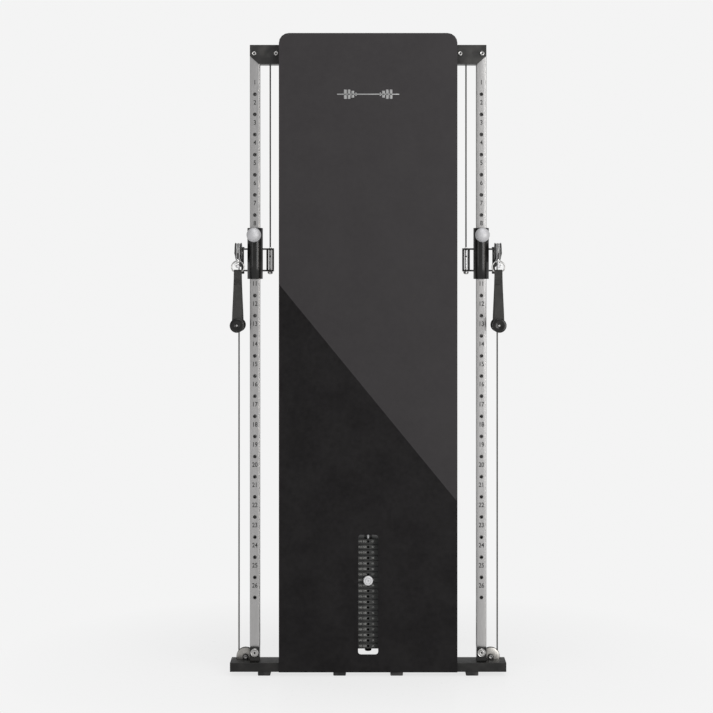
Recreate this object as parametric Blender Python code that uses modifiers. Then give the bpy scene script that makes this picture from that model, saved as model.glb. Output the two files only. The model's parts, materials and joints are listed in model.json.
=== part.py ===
"""Cable crossover machine: two numbered uprights, sliding pulley carriages and one shared weight stack.

Metres, +Z up. The front of the machine faces -Y and the floor is Z = 0. Everything is placed from
the plane through the two uprights, and the empty "machine" moves that plane so that the whole
object is centred over the origin. The left side is at -X, seen from the front.
"""

import math

import bmesh
import bpy
from mathutils import Matrix, Vector

OBJECT_NAME = "cable_crossover_machine"

# Placing of the upright plane, which centres the machine in Y
MACHINE_Y = -0.25815
FIT_GAP = 0.0003

# Base
BASE_HALF_WIDTH = 0.4595
BASE_HALF_DEPTH = 0.050
BASE_LOW, BASE_TOP = 0.014, 0.044
TUBE_WALL = 0.003
RAIL_X, RAIL_HALF_WIDTH, RAIL_END_Y = 0.095, 0.020, 0.560
REAR_BAR_HALF_WIDTH, REAR_BAR_END_Y = 0.270, 0.620
REAR_FOOT_X = 0.230
FOOT_HALF_WIDTH, FOOT_HALF_DEPTH = 0.021, 0.045
FOOT_OUTER_X, FOOT_INNER_X = 0.346, RAIL_X

# Uprights, their foot brackets and their hole grid
UPRIGHT_X, UPRIGHT_HALF, UPRIGHT_CORNER, UPRIGHT_WALL = 0.3785, 0.017, 0.005, 0.0025
UPRIGHT_TOP = 2.090
HOLE_COUNT, HOLE_PITCH, HOLE_RADIUS = 26, 0.06725, 0.0048
PIN_HOLE_NUMBER = 8
PIN_Z = 1.4667
BRACKET_HALF_WIDTH, BRACKET_FRONT, BRACKET_TOP = 0.0165, -0.029, 0.0917

# Crossbar
BAR_HALF_WIDTH, BAR_LOW, BAR_TOP = 0.395, 2.038, 2.102
BAR_FRONT, BAR_BACK, BAR_WALL = -0.022, 0.032, 0.004
BAR_BEVEL_WIDTH, BAR_BEVEL_HEIGHT = 0.031, 0.027
BOLT_X_OUTER, BOLT_Z, BOLT_RADIUS, BOLT_HEAD = 0.3806, 2.0735, 0.0065, 0.004

# Panel and posts
PANEL_HALF_WIDTH, PANEL_LOW, PANEL_TOP = 0.2967, 0.0137, 2.138
PANEL_FRONT, PANEL_BACK = -0.054, -0.051
PANEL_CORNER, PANEL_RETURN_DEPTH, PANEL_RETURN = 0.033, 0.021, 0.0015
WINDOW_HALF_WIDTH, WINDOW_LOW, WINDOW_TOP, WINDOW_CORNER = 0.0334, 0.0732, 0.4708, 0.009
POST_X, POST_HALF = 0.230, 0.020

# Cable and pulleys, all in one plane behind the uprights
CABLE_Y, CABLE_RADIUS, PULLEY_HALF = 0.024, 0.0025, 0.006
GROOVE_GAP, END_GAP = 0.0005, 0.0006
AXLE_RADIUS, BORE_RADIUS = 0.004, 0.0044
INNER_CABLE_X, OUTER_CABLE_X = 0.329, 0.434
TOP_RUN_RADIUS, TOP_PULLEY_OUTER = 0.0215, 0.024
TOP_SIDE_X = INNER_CABLE_X - TOP_RUN_RADIUS
LOOP_X = 0.035
TURN_RADIUS, TURN_OUTER, TURN_Z = 0.02925, 0.034, 1.985
TURN_X = LOOP_X + TOP_RUN_RADIUS + TURN_RADIUS
DOWN_X = TURN_X + TURN_RADIUS
BASE_RUN_Z = 0.0295
BASE_CENTRE_RADIUS, BASE_CENTRE_OUTER = 0.020, 0.0245
BASE_SIDE_RADIUS, BASE_SIDE_OUTER = 0.0226, 0.031
BASE_SIDE_X = OUTER_CABLE_X - BASE_SIDE_RADIUS
EAR_HALF, EAR_THICKNESS, EAR_OFFSET, SLOT_HALF = 0.009, 0.004, 0.008, 0.0075

# Weight stack
PLATE_COUNT, LIFTED_COUNT, PLATE_PITCH = 20, 8, 0.01835
PLATE_HALF_WIDTH, PLATE_HALF_DEPTH, PLATE_SLIT = 0.105, 0.050, 0.0008
STACK_LOW = 0.0867
STACK_TOP = STACK_LOW + PLATE_COUNT * PLATE_PITCH
LIFTED_LOW = STACK_TOP - LIFTED_COUNT * PLATE_PITCH
SELECTED_Z = LIFTED_LOW + PLATE_PITCH / 2
GUIDE_X, GUIDE_RADIUS, GUIDE_HOLE = 0.085, 0.0095, 0.0105
SHELF_LOW, SHELF_TOP = 1.930, 1.938
SELECTOR_RADIUS, SELECTOR_HOLE, SELECTOR_LOW = 0.0115, 0.0121, 0.0787
SELECTOR_PIN_RADIUS, SELECTOR_PIN_HOLE = 0.0047, 0.0052
LOOP_Z = 0.545
HEAD_PLATE_LOW, HEAD_PLATE_TOP, CLEVIS_HALF_WIDTH = 0.480, 0.492, 0.050

# Carriage, swivel and handle
SLEEVE_LOW, SLEEVE_TOP, SLEEVE_RADIUS, SLEEVE_BORE = 1.3203, 1.4910, 0.026, 0.0235
ARM_Z, ARM_HALF = (1.3481, 1.4205), 0.0025
SWIVEL_X, SWIVEL_Y, SWIVEL_PIN = 0.423, 0.040, 0.0048
WHEEL_RADIUS, WHEEL_OUTER, WHEEL_Z = 0.031, 0.0335, 1.4071
WHEEL_Y = CABLE_Y - WHEEL_RADIUS
HANDLE_Y = WHEEL_Y - WHEEL_RADIUS
BALL_Y, BALL_RADIUS = -0.080, 0.024
PULL_PIN_RADIUS, PULL_PIN_CLEAR = 0.0038, 0.0008
STOP_Z, STOP_RADIUS = 1.3810, 0.0062
RING_Z, RING_RADIUS, RING_WIRE = 1.3600, 0.0205, 0.0022
STRAP_TOP, STRAP_FORK, STRAP_HALF_WIDTH, STRAP_HALF = 1.3530, 1.3020, 0.0165, 0.0025
GRIP_Z, GRIP_HALF_LENGTH, GRIP_FLANGE, GRIP_BARREL = 1.1667, 0.056, 0.0235, 0.0170
GRIP_FLANGE_THICKNESS, STRAP_SPREAD = 0.009, 0.0435

SIDES = {"left": -1, "right": 1}

# name: (colour, roughness, metallic)
LOOKS = {
    "black_paint": ((0.018, 0.017, 0.017), 0.45, 0.0),
    "brushed_steel": ((0.42, 0.41, 0.40), 0.35, 1.0),
    "chrome": ((0.72, 0.72, 0.72), 0.12, 1.0),
    "satin_silver": ((0.60, 0.60, 0.62), 0.30, 1.0),
    "panel_paint": ((0.030, 0.028, 0.029), 0.40, 0.0),
    "cast_iron": ((0.030, 0.030, 0.032), 0.60, 0.4),
    "rubber": ((0.012, 0.012, 0.012), 0.85, 0.0),
    "cable_coat": ((0.070, 0.070, 0.072), 0.40, 0.0),
    "webbing": ((0.032, 0.032, 0.034), 0.90, 0.0),
}


# ---------------------------------------------------------------- scene and helpers


def clear_scene():
    """Remove every object, then make the two collections and the empty that carries the machine."""
    for obj in list(bpy.data.objects):
        bpy.data.objects.remove(obj, do_unlink=True)
    for name in (OBJECT_NAME, "cutters"):
        bpy.context.scene.collection.children.link(bpy.data.collections.new(name))
    bpy.data.collections["cutters"].hide_render = True
    machine = bpy.data.objects.new("machine", None)
    machine.location.y = MACHINE_Y
    bpy.data.collections[OBJECT_NAME].objects.link(machine)
    return machine


def look(name):
    """The material of that name, made on first use."""
    if name in bpy.data.materials:
        return bpy.data.materials[name]
    colour, roughness, metallic = LOOKS[name]
    material = bpy.data.materials.new(name)
    material.use_nodes = True
    shader = material.node_tree.nodes["Principled BSDF"]
    shader.inputs["Base Color"].default_value = (*colour, 1.0)
    shader.inputs["Roughness"].default_value = roughness
    shader.inputs["Metallic"].default_value = metallic
    return material


def place(obj, machine, collection=OBJECT_NAME, material=None):
    """Put an object in one collection, under the machine's empty, with its material."""
    for old in list(obj.users_collection):
        old.objects.unlink(obj)
    bpy.data.collections[collection].objects.link(obj)
    obj.parent = machine
    if material:
        obj.data.materials.clear()
        obj.data.materials.append(look(material))
    if collection == "cutters":
        obj.hide_render = True
        obj.display_type = "WIRE"
    return obj


def from_bmesh(name, mesh_data, location=(0, 0, 0)):
    mesh = bpy.data.meshes.new(name)
    mesh_data.to_mesh(mesh)
    mesh_data.free()
    obj = bpy.data.objects.new(name, mesh)
    obj.location = location
    bpy.context.scene.collection.objects.link(obj)
    return obj


def box(name, low, high):
    """A box between two corners, with its origin at its centre."""
    low, high = Vector(low), Vector(high)
    size = high - low
    data = bmesh.new()
    bmesh.ops.create_cube(data, size=1.0, matrix=Matrix.Diagonal((*size, 1.0)))
    return from_bmesh(name, data, (low + high) / 2)


def rod(name, start, end, radius, segments=12):
    """A cylinder between two points, with its origin at its middle."""
    start, end = Vector(start), Vector(end)
    along = end - start
    turn = along.to_track_quat("Z", "Y").to_matrix().to_4x4()
    data = bmesh.new()
    bmesh.ops.create_cone(
        data,
        cap_ends=True,
        segments=segments,
        radius1=radius,
        radius2=radius,
        depth=along.length,
        matrix=turn,
    )
    return from_bmesh(name, data, (start + end) / 2)


def ball(name, centre, radius):
    data = bmesh.new()
    bmesh.ops.create_uvsphere(data, u_segments=14, v_segments=8, radius=radius)
    return from_bmesh(name, data, centre)


def torus(name, centre, radius, wire, turn=(math.pi / 2, 0, 0)):
    """A ring lying in the XZ plane unless another turn is given."""
    bpy.ops.mesh.primitive_torus_add(
        major_radius=radius, minor_radius=wire, major_segments=20, minor_segments=6
    )
    obj = bpy.context.object
    obj.name = name
    obj.location = centre
    obj.rotation_euler = turn
    return obj


def turned(name, profile, centre, axis="Y", steps=16):
    """A turned shape from (radius, height) points that run down its outer side and up its bore."""
    data = bmesh.new()
    points = [data.verts.new((radius, 0, height)) for radius, height in profile]
    for first, second in zip(points, points[1:] + points[:1]):
        data.edges.new((first, second))
    obj = from_bmesh(name, data, centre)
    screw = obj.modifiers.new("turn", "SCREW")
    screw.axis = "Z"
    screw.steps = screw.render_steps = steps
    screw.use_merge_vertices = True
    screw.merge_threshold = 0.0001
    obj.rotation_euler = {"Y": (math.pi / 2, 0, 0), "X": (0, math.pi / 2, 0), "Z": (0, 0, 0)}[axis]
    return obj


def plate(name, outline, thickness, centre, turn=(0, 0, 0)):
    """A flat outline with this thickness; the outline's own plane is XY before the turn."""
    curve = bpy.data.curves.new(name, "CURVE")
    curve.dimensions = "2D"
    curve.fill_mode = "BOTH"
    curve.extrude = thickness / 2
    line = curve.splines.new("POLY")
    line.points.add(len(outline) - 1)
    for point, (x, y) in zip(line.points, outline):
        point.co = (x, y, 0, 1)
    line.use_cyclic_u = True
    obj = bpy.data.objects.new(name, curve)
    obj.location = centre
    obj.rotation_euler = turn
    bpy.context.scene.collection.objects.link(obj)
    return as_mesh(obj)


def as_mesh(obj):
    """The same shape as a closed mesh, in place of a curve."""
    bpy.context.view_layer.update()
    evaluated = obj.evaluated_get(bpy.context.evaluated_depsgraph_get())
    mesh = bpy.data.meshes.new_from_object(evaluated)
    data = bmesh.new()
    data.from_mesh(mesh)
    bmesh.ops.remove_doubles(data, verts=data.verts, dist=0.00001)
    bmesh.ops.recalc_face_normals(data, faces=data.faces)
    data.to_mesh(mesh)
    data.free()
    name = obj.name
    matrix = obj.matrix_world.copy()
    bpy.data.objects.remove(obj, do_unlink=True)
    made = bpy.data.objects.new(name, mesh)
    made.matrix_world = matrix
    bpy.context.scene.collection.objects.link(made)
    return made


def rounded(half_width, half_height, radius, steps=3):
    """The outline of a rounded rectangle, as points counter-clockwise."""
    points = []
    for corner, (x, y) in enumerate(((1, 1), (-1, 1), (-1, -1), (1, -1))):
        for step in range(steps + 1):
            angle = math.pi / 2 * (corner + step / steps)
            points.append(
                (
                    x * (half_width - radius) + radius * math.cos(angle),
                    y * (half_height - radius) + radius * math.sin(angle),
                )
            )
    return points


class Piece:
    """One node of the machine: a first shape, with more shapes joined to it and cut from it."""

    def __init__(self, machine, obj, material):
        self.machine = machine
        self.obj = place(obj, machine, material=material)

    def _combine(self, tools, operation):
        for tool in tools:
            tool.name = f"{self.obj.name}_{operation.lower()}"
            place(tool, self.machine, "cutters")
            boolean = self.obj.modifiers.new(tool.name, "BOOLEAN")
            boolean.operation = operation
            boolean.object = tool
        return self

    def join(self, *tools):
        return self._combine(tools, "UNION")

    def cut(self, *tools):
        return self._combine(tools, "DIFFERENCE")


def arc(centre, radius, start, end, steps=6):
    """Points in the XZ plane of the cables, around a centre, between two angles in degrees."""
    points = []
    for step in range(steps + 1):
        angle = math.radians(start + (end - start) * step / steps)
        points.append((centre[0] + radius * math.cos(angle), centre[1] + radius * math.sin(angle)))
    return points


def cable(machine, name, points, side):
    """A plain cable through (x, z) points of the left side's cable plane, mirrored for the right."""
    return cable_3d(machine, name, [(-side * x, CABLE_Y, z) for x, z in points])


def cable_3d(machine, name, points):
    curve = bpy.data.curves.new(name, "CURVE")
    curve.dimensions = "3D"
    curve.bevel_depth = CABLE_RADIUS
    curve.bevel_resolution = 2
    curve.use_fill_caps = True
    line = curve.splines.new("POLY")
    line.points.add(len(points) - 1)
    for point, place_at in zip(line.points, points):
        point.co = (*place_at, 1)
    obj = bpy.data.objects.new(name, curve)
    bpy.context.scene.collection.objects.link(obj)
    return Piece(machine, obj, "cable_coat")


# ---------------------------------------------------------------- frame


def square_tube(machine, name, low, high, axis, material="black_paint"):
    """A hollow bar, open at both ends along its axis (0 = X, 1 = Y, 2 = Z)."""
    inner_low = [v + TUBE_WALL for v in low]
    inner_high = [v - TUBE_WALL for v in high]
    inner_low[axis] = low[axis] - TUBE_WALL
    inner_high[axis] = high[axis] + TUBE_WALL
    return Piece(machine, box(name, low, high), material).cut(box("hollow", inner_low, inner_high))


def pulley_ears(side, x, z):
    """Two upright ears and the axle between them, for a pulley sunk in the base bar."""
    shapes = []
    low = BASE_TOP - TUBE_WALL / 2
    outline = [(-EAR_HALF, low - z)]
    for step in range(9):
        angle = math.pi * (1 - step / 8)
        outline.append((EAR_HALF * math.cos(angle), EAR_HALF * math.sin(angle)))
    outline.append((EAR_HALF, low - z))
    for direction in (-1, 1):
        y = CABLE_Y + direction * (EAR_OFFSET + EAR_THICKNESS / 2)
        shapes.append(plate("ear", outline, EAR_THICKNESS, (side * x, y, z), (math.pi / 2, 0, 0)))
    reach = EAR_OFFSET + EAR_THICKNESS + 0.001
    start, end = (side * x, CABLE_Y - reach, z), (side * x, CABLE_Y + reach, z)
    shapes.append(rod("axle", start, end, AXLE_RADIUS, 16))
    return shapes


def make_base(machine):
    base = Piece(
        machine,
        box(
            "base_bar",
            (-BASE_HALF_WIDTH, -BASE_HALF_DEPTH, BASE_LOW),
            (BASE_HALF_WIDTH, BASE_HALF_DEPTH, BASE_TOP),
        ),
        "black_paint",
    )
    base.cut(
        box(
            "hollow",
            (-BASE_HALF_WIDTH + TUBE_WALL, -BASE_HALF_DEPTH + TUBE_WALL, BASE_LOW + TUBE_WALL),
            (BASE_HALF_WIDTH - TUBE_WALL, BASE_HALF_DEPTH - TUBE_WALL, BASE_TOP - TUBE_WALL),
        )
    )
    slots = ((BASE_SIDE_X, BASE_SIDE_OUTER), (DOWN_X + BASE_CENTRE_RADIUS, BASE_CENTRE_OUTER))
    for side in SIDES.values():
        for x, outer in slots:
            z = BASE_RUN_Z + (BASE_SIDE_RADIUS if x == BASE_SIDE_X else BASE_CENTRE_RADIUS)
            base.cut(
                box(
                    "slot",
                    (side * x - outer - 0.001, CABLE_Y - SLOT_HALF, BASE_TOP - 0.006),
                    (side * x + outer + 0.001, CABLE_Y + SLOT_HALF, BASE_TOP + 0.006),
                )
            )
            base.join(*pulley_ears(side, x, z))
    for name, side in SIDES.items():
        square_tube(
            machine,
            f"base_rail_{name}",
            (side * RAIL_X - RAIL_HALF_WIDTH, BASE_HALF_DEPTH + FIT_GAP, BASE_LOW),
            (side * RAIL_X + RAIL_HALF_WIDTH, RAIL_END_Y, BASE_TOP),
            axis=1,
        )
    rear = square_tube(
        machine,
        "rear_bar",
        (-REAR_BAR_HALF_WIDTH, RAIL_END_Y + FIT_GAP, BASE_LOW),
        (REAR_BAR_HALF_WIDTH, REAR_BAR_END_Y, BASE_TOP),
        axis=0,
    )
    for side in SIDES.values():
        rear.join(
            box(
                "pad",
                (side * REAR_FOOT_X - FOOT_HALF_WIDTH, RAIL_END_Y + 0.008, 0),
                (side * REAR_FOOT_X + FOOT_HALF_WIDTH, REAR_BAR_END_Y - 0.008, BASE_LOW + 0.001),
            )
        )


def make_feet(machine):
    for name, side in SIDES.items():
        for place_name, x in (("outer", FOOT_OUTER_X), ("inner", FOOT_INNER_X)):
            foot = box(
                f"foot_{place_name}_{name}",
                (side * x - FOOT_HALF_WIDTH, -FOOT_HALF_DEPTH, 0),
                (side * x + FOOT_HALF_WIDTH, FOOT_HALF_DEPTH, BASE_LOW - FIT_GAP),
            )
            edge = foot.modifiers.new("round", "BEVEL")
            edge.width = 0.004
            edge.segments = 2
            Piece(machine, foot, "rubber")


def make_uprights(machine):
    bottom = BRACKET_TOP + FIT_GAP
    length = UPRIGHT_TOP - bottom
    middle = (UPRIGHT_TOP + bottom) / 2
    outer = rounded(UPRIGHT_HALF, UPRIGHT_HALF, UPRIGHT_CORNER)
    half = UPRIGHT_HALF - UPRIGHT_WALL
    inner = rounded(half, half, UPRIGHT_CORNER - UPRIGHT_WALL)
    for name, side in SIDES.items():
        x = side * UPRIGHT_X
        tube = Piece(machine, plate(f"upright_{name}", outer, length, (x, 0, middle)), "brushed_steel")
        tube.cut(plate("hollow", inner, length + 0.01, (x, 0, middle)))
        first = PIN_Z + (PIN_HOLE_NUMBER - 1) * HOLE_PITCH
        tube.cut(hole_row(x, first))
        bracket = box(
            f"foot_bracket_{name}",
            (x - BRACKET_HALF_WIDTH, BRACKET_FRONT, BASE_TOP + FIT_GAP),
            (x + BRACKET_HALF_WIDTH, UPRIGHT_HALF, BRACKET_TOP),
        )
        cap_z = (BASE_TOP + BRACKET_TOP) / 2 + 0.006
        cap = rod("cap", (x, BRACKET_FRONT - 0.003, cap_z), (x, BRACKET_FRONT + 0.002, cap_z), 0.014, 24)
        Piece(machine, bracket, "black_paint").join(cap)


def hole_row(x, first):
    """All the holes of one upright as one cutter: a cylinder repeated down its front wall."""
    start, end = (x, -UPRIGHT_HALF - 0.005, first), (x, -UPRIGHT_HALF + 0.010, first)
    cutter = rod("holes", start, end, HOLE_RADIUS, 8)
    row = cutter.modifiers.new("row", "ARRAY")
    row.use_relative_offset = False
    row.use_constant_offset = True
    row.constant_offset_displace = (0, 0, -HOLE_PITCH)
    row.count = HOLE_COUNT
    return cutter


def crossbar_outline():
    """The crossbar's front face, with its lower outer corners cut off."""
    right = [
        (BAR_HALF_WIDTH - BAR_BEVEL_WIDTH, BAR_LOW),
        (BAR_HALF_WIDTH, BAR_LOW + BAR_BEVEL_HEIGHT),
        (BAR_HALF_WIDTH, BAR_TOP),
    ]
    return right + [(-x, z) for x, z in reversed(right)]


def make_crossbar(machine):
    front = plate(
        "crossbar", crossbar_outline(), BAR_WALL, (0, BAR_FRONT + BAR_WALL / 2, 0), (math.pi / 2, 0, 0)
    )
    bar = Piece(machine, front, "black_paint")
    flange = BAR_HALF_WIDTH - BAR_BEVEL_WIDTH
    inside = BAR_FRONT + BAR_WALL / 2
    bar.join(
        box("top_flange", (-BAR_HALF_WIDTH, inside, BAR_TOP - BAR_WALL), (BAR_HALF_WIDTH, BAR_BACK, BAR_TOP)),
        box("low_flange", (-flange, inside, BAR_LOW), (flange, BAR_BACK, BAR_LOW + BAR_WALL)),
    )
    hang_y = CABLE_Y - PULLEY_HALF - 0.001
    bar.join(
        box("hanger", (-0.105, hang_y - 0.004, SHELF_LOW), (0.105, hang_y, BAR_LOW + BAR_WALL / 2)),
        box("shelf", (-0.105, hang_y - 0.002, SHELF_LOW), (0.105, BAR_BACK, SHELF_TOP)),
    )
    reach = CABLE_Y + PULLEY_HALF + 0.002
    axles = ((TOP_SIDE_X, inside, BOLT_Z), (LOOP_X, inside, BOLT_Z), (TURN_X, hang_y - 0.002, TURN_Z))
    for side in SIDES.values():
        for x, start_y, z in axles:
            bar.join(rod("axle", (side * x, start_y, z), (side * x, reach, z), AXLE_RADIUS))
        for x in (BOLT_X_OUTER, TOP_SIDE_X):
            head = (side * x, BAR_FRONT - BOLT_HEAD, BOLT_Z)
            bar.join(rod("bolt", head, (side * x, inside, BOLT_Z), BOLT_RADIUS, 12))
        clear = UPRIGHT_HALF + 0.0008
        x = side * UPRIGHT_X
        bar.cut(box("upright_way", (x - clear, -clear, BAR_LOW - 0.01), (x + clear, clear, BAR_LOW + 0.01)))
        loop_inner, loop_outer = LOOP_X - TOP_RUN_RADIUS, LOOP_X + TOP_RUN_RADIUS
        through_bar = ((INNER_CABLE_X, BAR_LOW), (loop_inner, BAR_LOW))
        through_shelf = ((loop_inner, SHELF_LOW), (loop_outer, SHELF_LOW))
        for x, z in through_bar + through_shelf:
            at = (side * x, CABLE_Y)
            bar.cut(rod("cable_way", (*at, z - 0.01), (*at, z + 0.01), 0.005, 12))


def make_panel(machine):
    width, low, high, radius = PANEL_HALF_WIDTH, PANEL_LOW, PANEL_TOP, PANEL_CORNER
    right = [(width, low)]
    for step in range(5):
        angle = math.pi / 2 * step / 4
        right.append((width - radius + radius * math.cos(angle), high - radius + radius * math.sin(angle)))
    outline = right + [(-x, z) for x, z in reversed(right)]
    middle = (PANEL_FRONT + PANEL_BACK) / 2
    thickness = PANEL_BACK - PANEL_FRONT
    sheet = plate("front_panel", outline, thickness, (0, middle, 0), (math.pi / 2, 0, 0))
    panel = Piece(machine, sheet, "panel_paint")
    for side in SIDES.values():
        edge = side * (width - PANEL_RETURN)
        panel.join(
            box(
                "return",
                (min(edge, side * width), middle, BASE_TOP + 0.02),
                (max(edge, side * width), middle + PANEL_RETURN_DEPTH, BAR_LOW - 0.02),
            )
        )
    window = rounded(WINDOW_HALF_WIDTH, (WINDOW_TOP - WINDOW_LOW) / 2, WINDOW_CORNER)
    centre = (0, middle, (WINDOW_TOP + WINDOW_LOW) / 2)
    panel.cut(plate("window", window, 0.02, centre, (math.pi / 2, 0, 0)))
    back = PANEL_BACK + FIT_GAP
    for name, side in SIDES.items():
        x = side * POST_X
        square_tube(
            machine,
            f"post_{name}",
            (x - POST_HALF, back, BASE_TOP + FIT_GAP),
            (x + POST_HALF, back + 2 * POST_HALF, BAR_LOW - FIT_GAP),
            axis=2,
        )


# ---------------------------------------------------------------- weight stack


def plate_block(machine, name, low, count):
    """Some plates as one block, with a slit round it between each plate and the next."""
    high = low + count * PLATE_PITCH - FIT_GAP
    front, back = CABLE_Y - PLATE_HALF_DEPTH, CABLE_Y + PLATE_HALF_DEPTH
    shape = box(name, (-PLATE_HALF_WIDTH, front, low), (PLATE_HALF_WIDTH, back, high))
    block = Piece(machine, shape, "cast_iron")
    for index in range(1, count):
        z = low + index * PLATE_PITCH
        for y in (front, back):
            block.cut(
                box(
                    "slit",
                    (-PLATE_HALF_WIDTH - 0.001, y - 0.0015, z - PLATE_SLIT / 2),
                    (PLATE_HALF_WIDTH + 0.001, y + 0.0015, z + PLATE_SLIT / 2),
                )
            )
    for x, radius in ((-GUIDE_X, GUIDE_HOLE), (0, SELECTOR_HOLE), (GUIDE_X, GUIDE_HOLE)):
        block.cut(rod("bore", (x, CABLE_Y, low - 0.005), (x, CABLE_Y, high + 0.005), radius))
    return block


def make_stack(machine):
    plate_block(machine, "plates_resting", STACK_LOW, PLATE_COUNT - LIFTED_COUNT)
    lifted = plate_block(machine, "plates_lifted", LIFTED_LOW, LIFTED_COUNT)
    front = CABLE_Y - PLATE_HALF_DEPTH
    lifted.cut(
        rod("pin_way", (0, front - 0.005, SELECTED_Z), (0, CABLE_Y, SELECTED_Z), SELECTOR_PIN_HOLE, 12)
    )
    make_head(machine)
    knob_back = front - 0.007
    pin = rod(
        "selector_pin", (0, knob_back, SELECTED_Z), (0, CABLE_Y + 0.009, SELECTED_Z), SELECTOR_PIN_RADIUS, 12
    )
    knob = rod("knob", (0, knob_back - 0.012, SELECTED_Z), (0, knob_back + 0.002, SELECTED_Z), 0.016, 24)
    Piece(machine, pin, "chrome").join(knob)
    for name, side in SIDES.items():
        at = (side * GUIDE_X, CABLE_Y)
        guide = rod(
            f"guide_rod_{name}", (*at, BASE_TOP + FIT_GAP), (*at, SHELF_LOW - FIT_GAP), GUIDE_RADIUS
        )
        Piece(machine, guide, "chrome")
        bumper = rod(f"bumper_{name}", (*at, BASE_TOP + FIT_GAP), (*at, STACK_LOW - FIT_GAP), 0.018)
        bumper = Piece(machine, bumper, "rubber")
        bumper.cut(rod("bore", (*at, BASE_TOP - 0.005), (*at, STACK_LOW + 0.005), GUIDE_RADIUS + 0.0006))


def make_head(machine):
    """Selector rod, guide plate and the clevis of the two loop pulleys, as one welded head."""
    head = Piece(
        machine,
        rod("stack_head", (0, CABLE_Y, SELECTOR_LOW), (0, CABLE_Y, HEAD_PLATE_TOP), SELECTOR_RADIUS),
        "brushed_steel",
    )
    head.join(
        box(
            "guide_plate",
            (-PLATE_HALF_WIDTH, CABLE_Y - 0.025, HEAD_PLATE_LOW),
            (PLATE_HALF_WIDTH, CABLE_Y + 0.025, HEAD_PLATE_TOP),
        )
    )
    for direction in (-1, 1):
        near = CABLE_Y + direction * (PULLEY_HALF + 0.001)
        far = near + direction * 0.004
        low, high = (min(near, far), HEAD_PLATE_LOW + 0.002), (max(near, far), LOOP_Z + 0.012)
        head.join(box("clevis", (-CLEVIS_HALF_WIDTH, *low), (CLEVIS_HALF_WIDTH, *high)))
    for side in SIDES.values():
        x = side * LOOP_X
        head.join(rod("axle", (x, CABLE_Y - 0.009, LOOP_Z), (x, CABLE_Y + 0.009, LOOP_Z), AXLE_RADIUS))
        at = (side * GUIDE_X, CABLE_Y)
        low, high = HEAD_PLATE_LOW - 0.005, HEAD_PLATE_TOP + 0.005
        head.cut(rod("guide_way", (*at, low), (*at, high), GUIDE_HOLE))
    start, end = (0, CABLE_Y - 0.02, SELECTED_Z), (0, CABLE_Y + 0.02, SELECTED_Z)
    head.cut(rod("pin_way", start, end, SELECTOR_PIN_HOLE, 12))


# ---------------------------------------------------------------- pulleys and cables


def pulley(machine, name, centre, run_radius, outer, axis="Y"):
    """A grooved wheel whose cable centre runs at run_radius, turned about its own axis."""
    floor = run_radius - CABLE_RADIUS - GROOVE_GAP
    lip = PULLEY_HALF - 0.0015
    profile = [
        (outer, PULLEY_HALF),
        (outer, lip),
        (floor, CABLE_RADIUS + GROOVE_GAP),
        (floor, -CABLE_RADIUS - GROOVE_GAP),
        (outer, -lip),
        (outer, -PULLEY_HALF),
        (BORE_RADIUS, -PULLEY_HALF),
        (BORE_RADIUS, PULLEY_HALF),
    ]
    return Piece(machine, turned(name, profile, centre, axis), "satin_silver")


def make_pulleys(machine):
    for name, side in SIDES.items():
        wheels = {
            "top_side_pulley": (TOP_SIDE_X, BOLT_Z, TOP_RUN_RADIUS, TOP_PULLEY_OUTER),
            "top_centre_pulley": (LOOP_X, BOLT_Z, TOP_RUN_RADIUS, TOP_PULLEY_OUTER),
            "loop_pulley": (LOOP_X, LOOP_Z, TOP_RUN_RADIUS, TOP_PULLEY_OUTER),
            "turn_pulley": (TURN_X, TURN_Z, TURN_RADIUS, TURN_OUTER),
            "base_centre_pulley": (
                DOWN_X + BASE_CENTRE_RADIUS,
                BASE_RUN_Z + BASE_CENTRE_RADIUS,
                BASE_CENTRE_RADIUS,
                BASE_CENTRE_OUTER,
            ),
            "base_side_pulley": (
                BASE_SIDE_X,
                BASE_RUN_Z + BASE_SIDE_RADIUS,
                BASE_SIDE_RADIUS,
                BASE_SIDE_OUTER,
            ),
        }
        for wheel, (x, z, run_radius, outer) in wheels.items():
            centre = (side * x, CABLE_Y, z)
            pulley(machine, f"{wheel}_{name}", centre, run_radius, outer)
        centre = (side * OUTER_CABLE_X, WHEEL_Y, WHEEL_Z)
        pulley(machine, f"swivel_pulley_{name}", centre, WHEEL_RADIUS, WHEEL_OUTER, "X")


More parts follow.
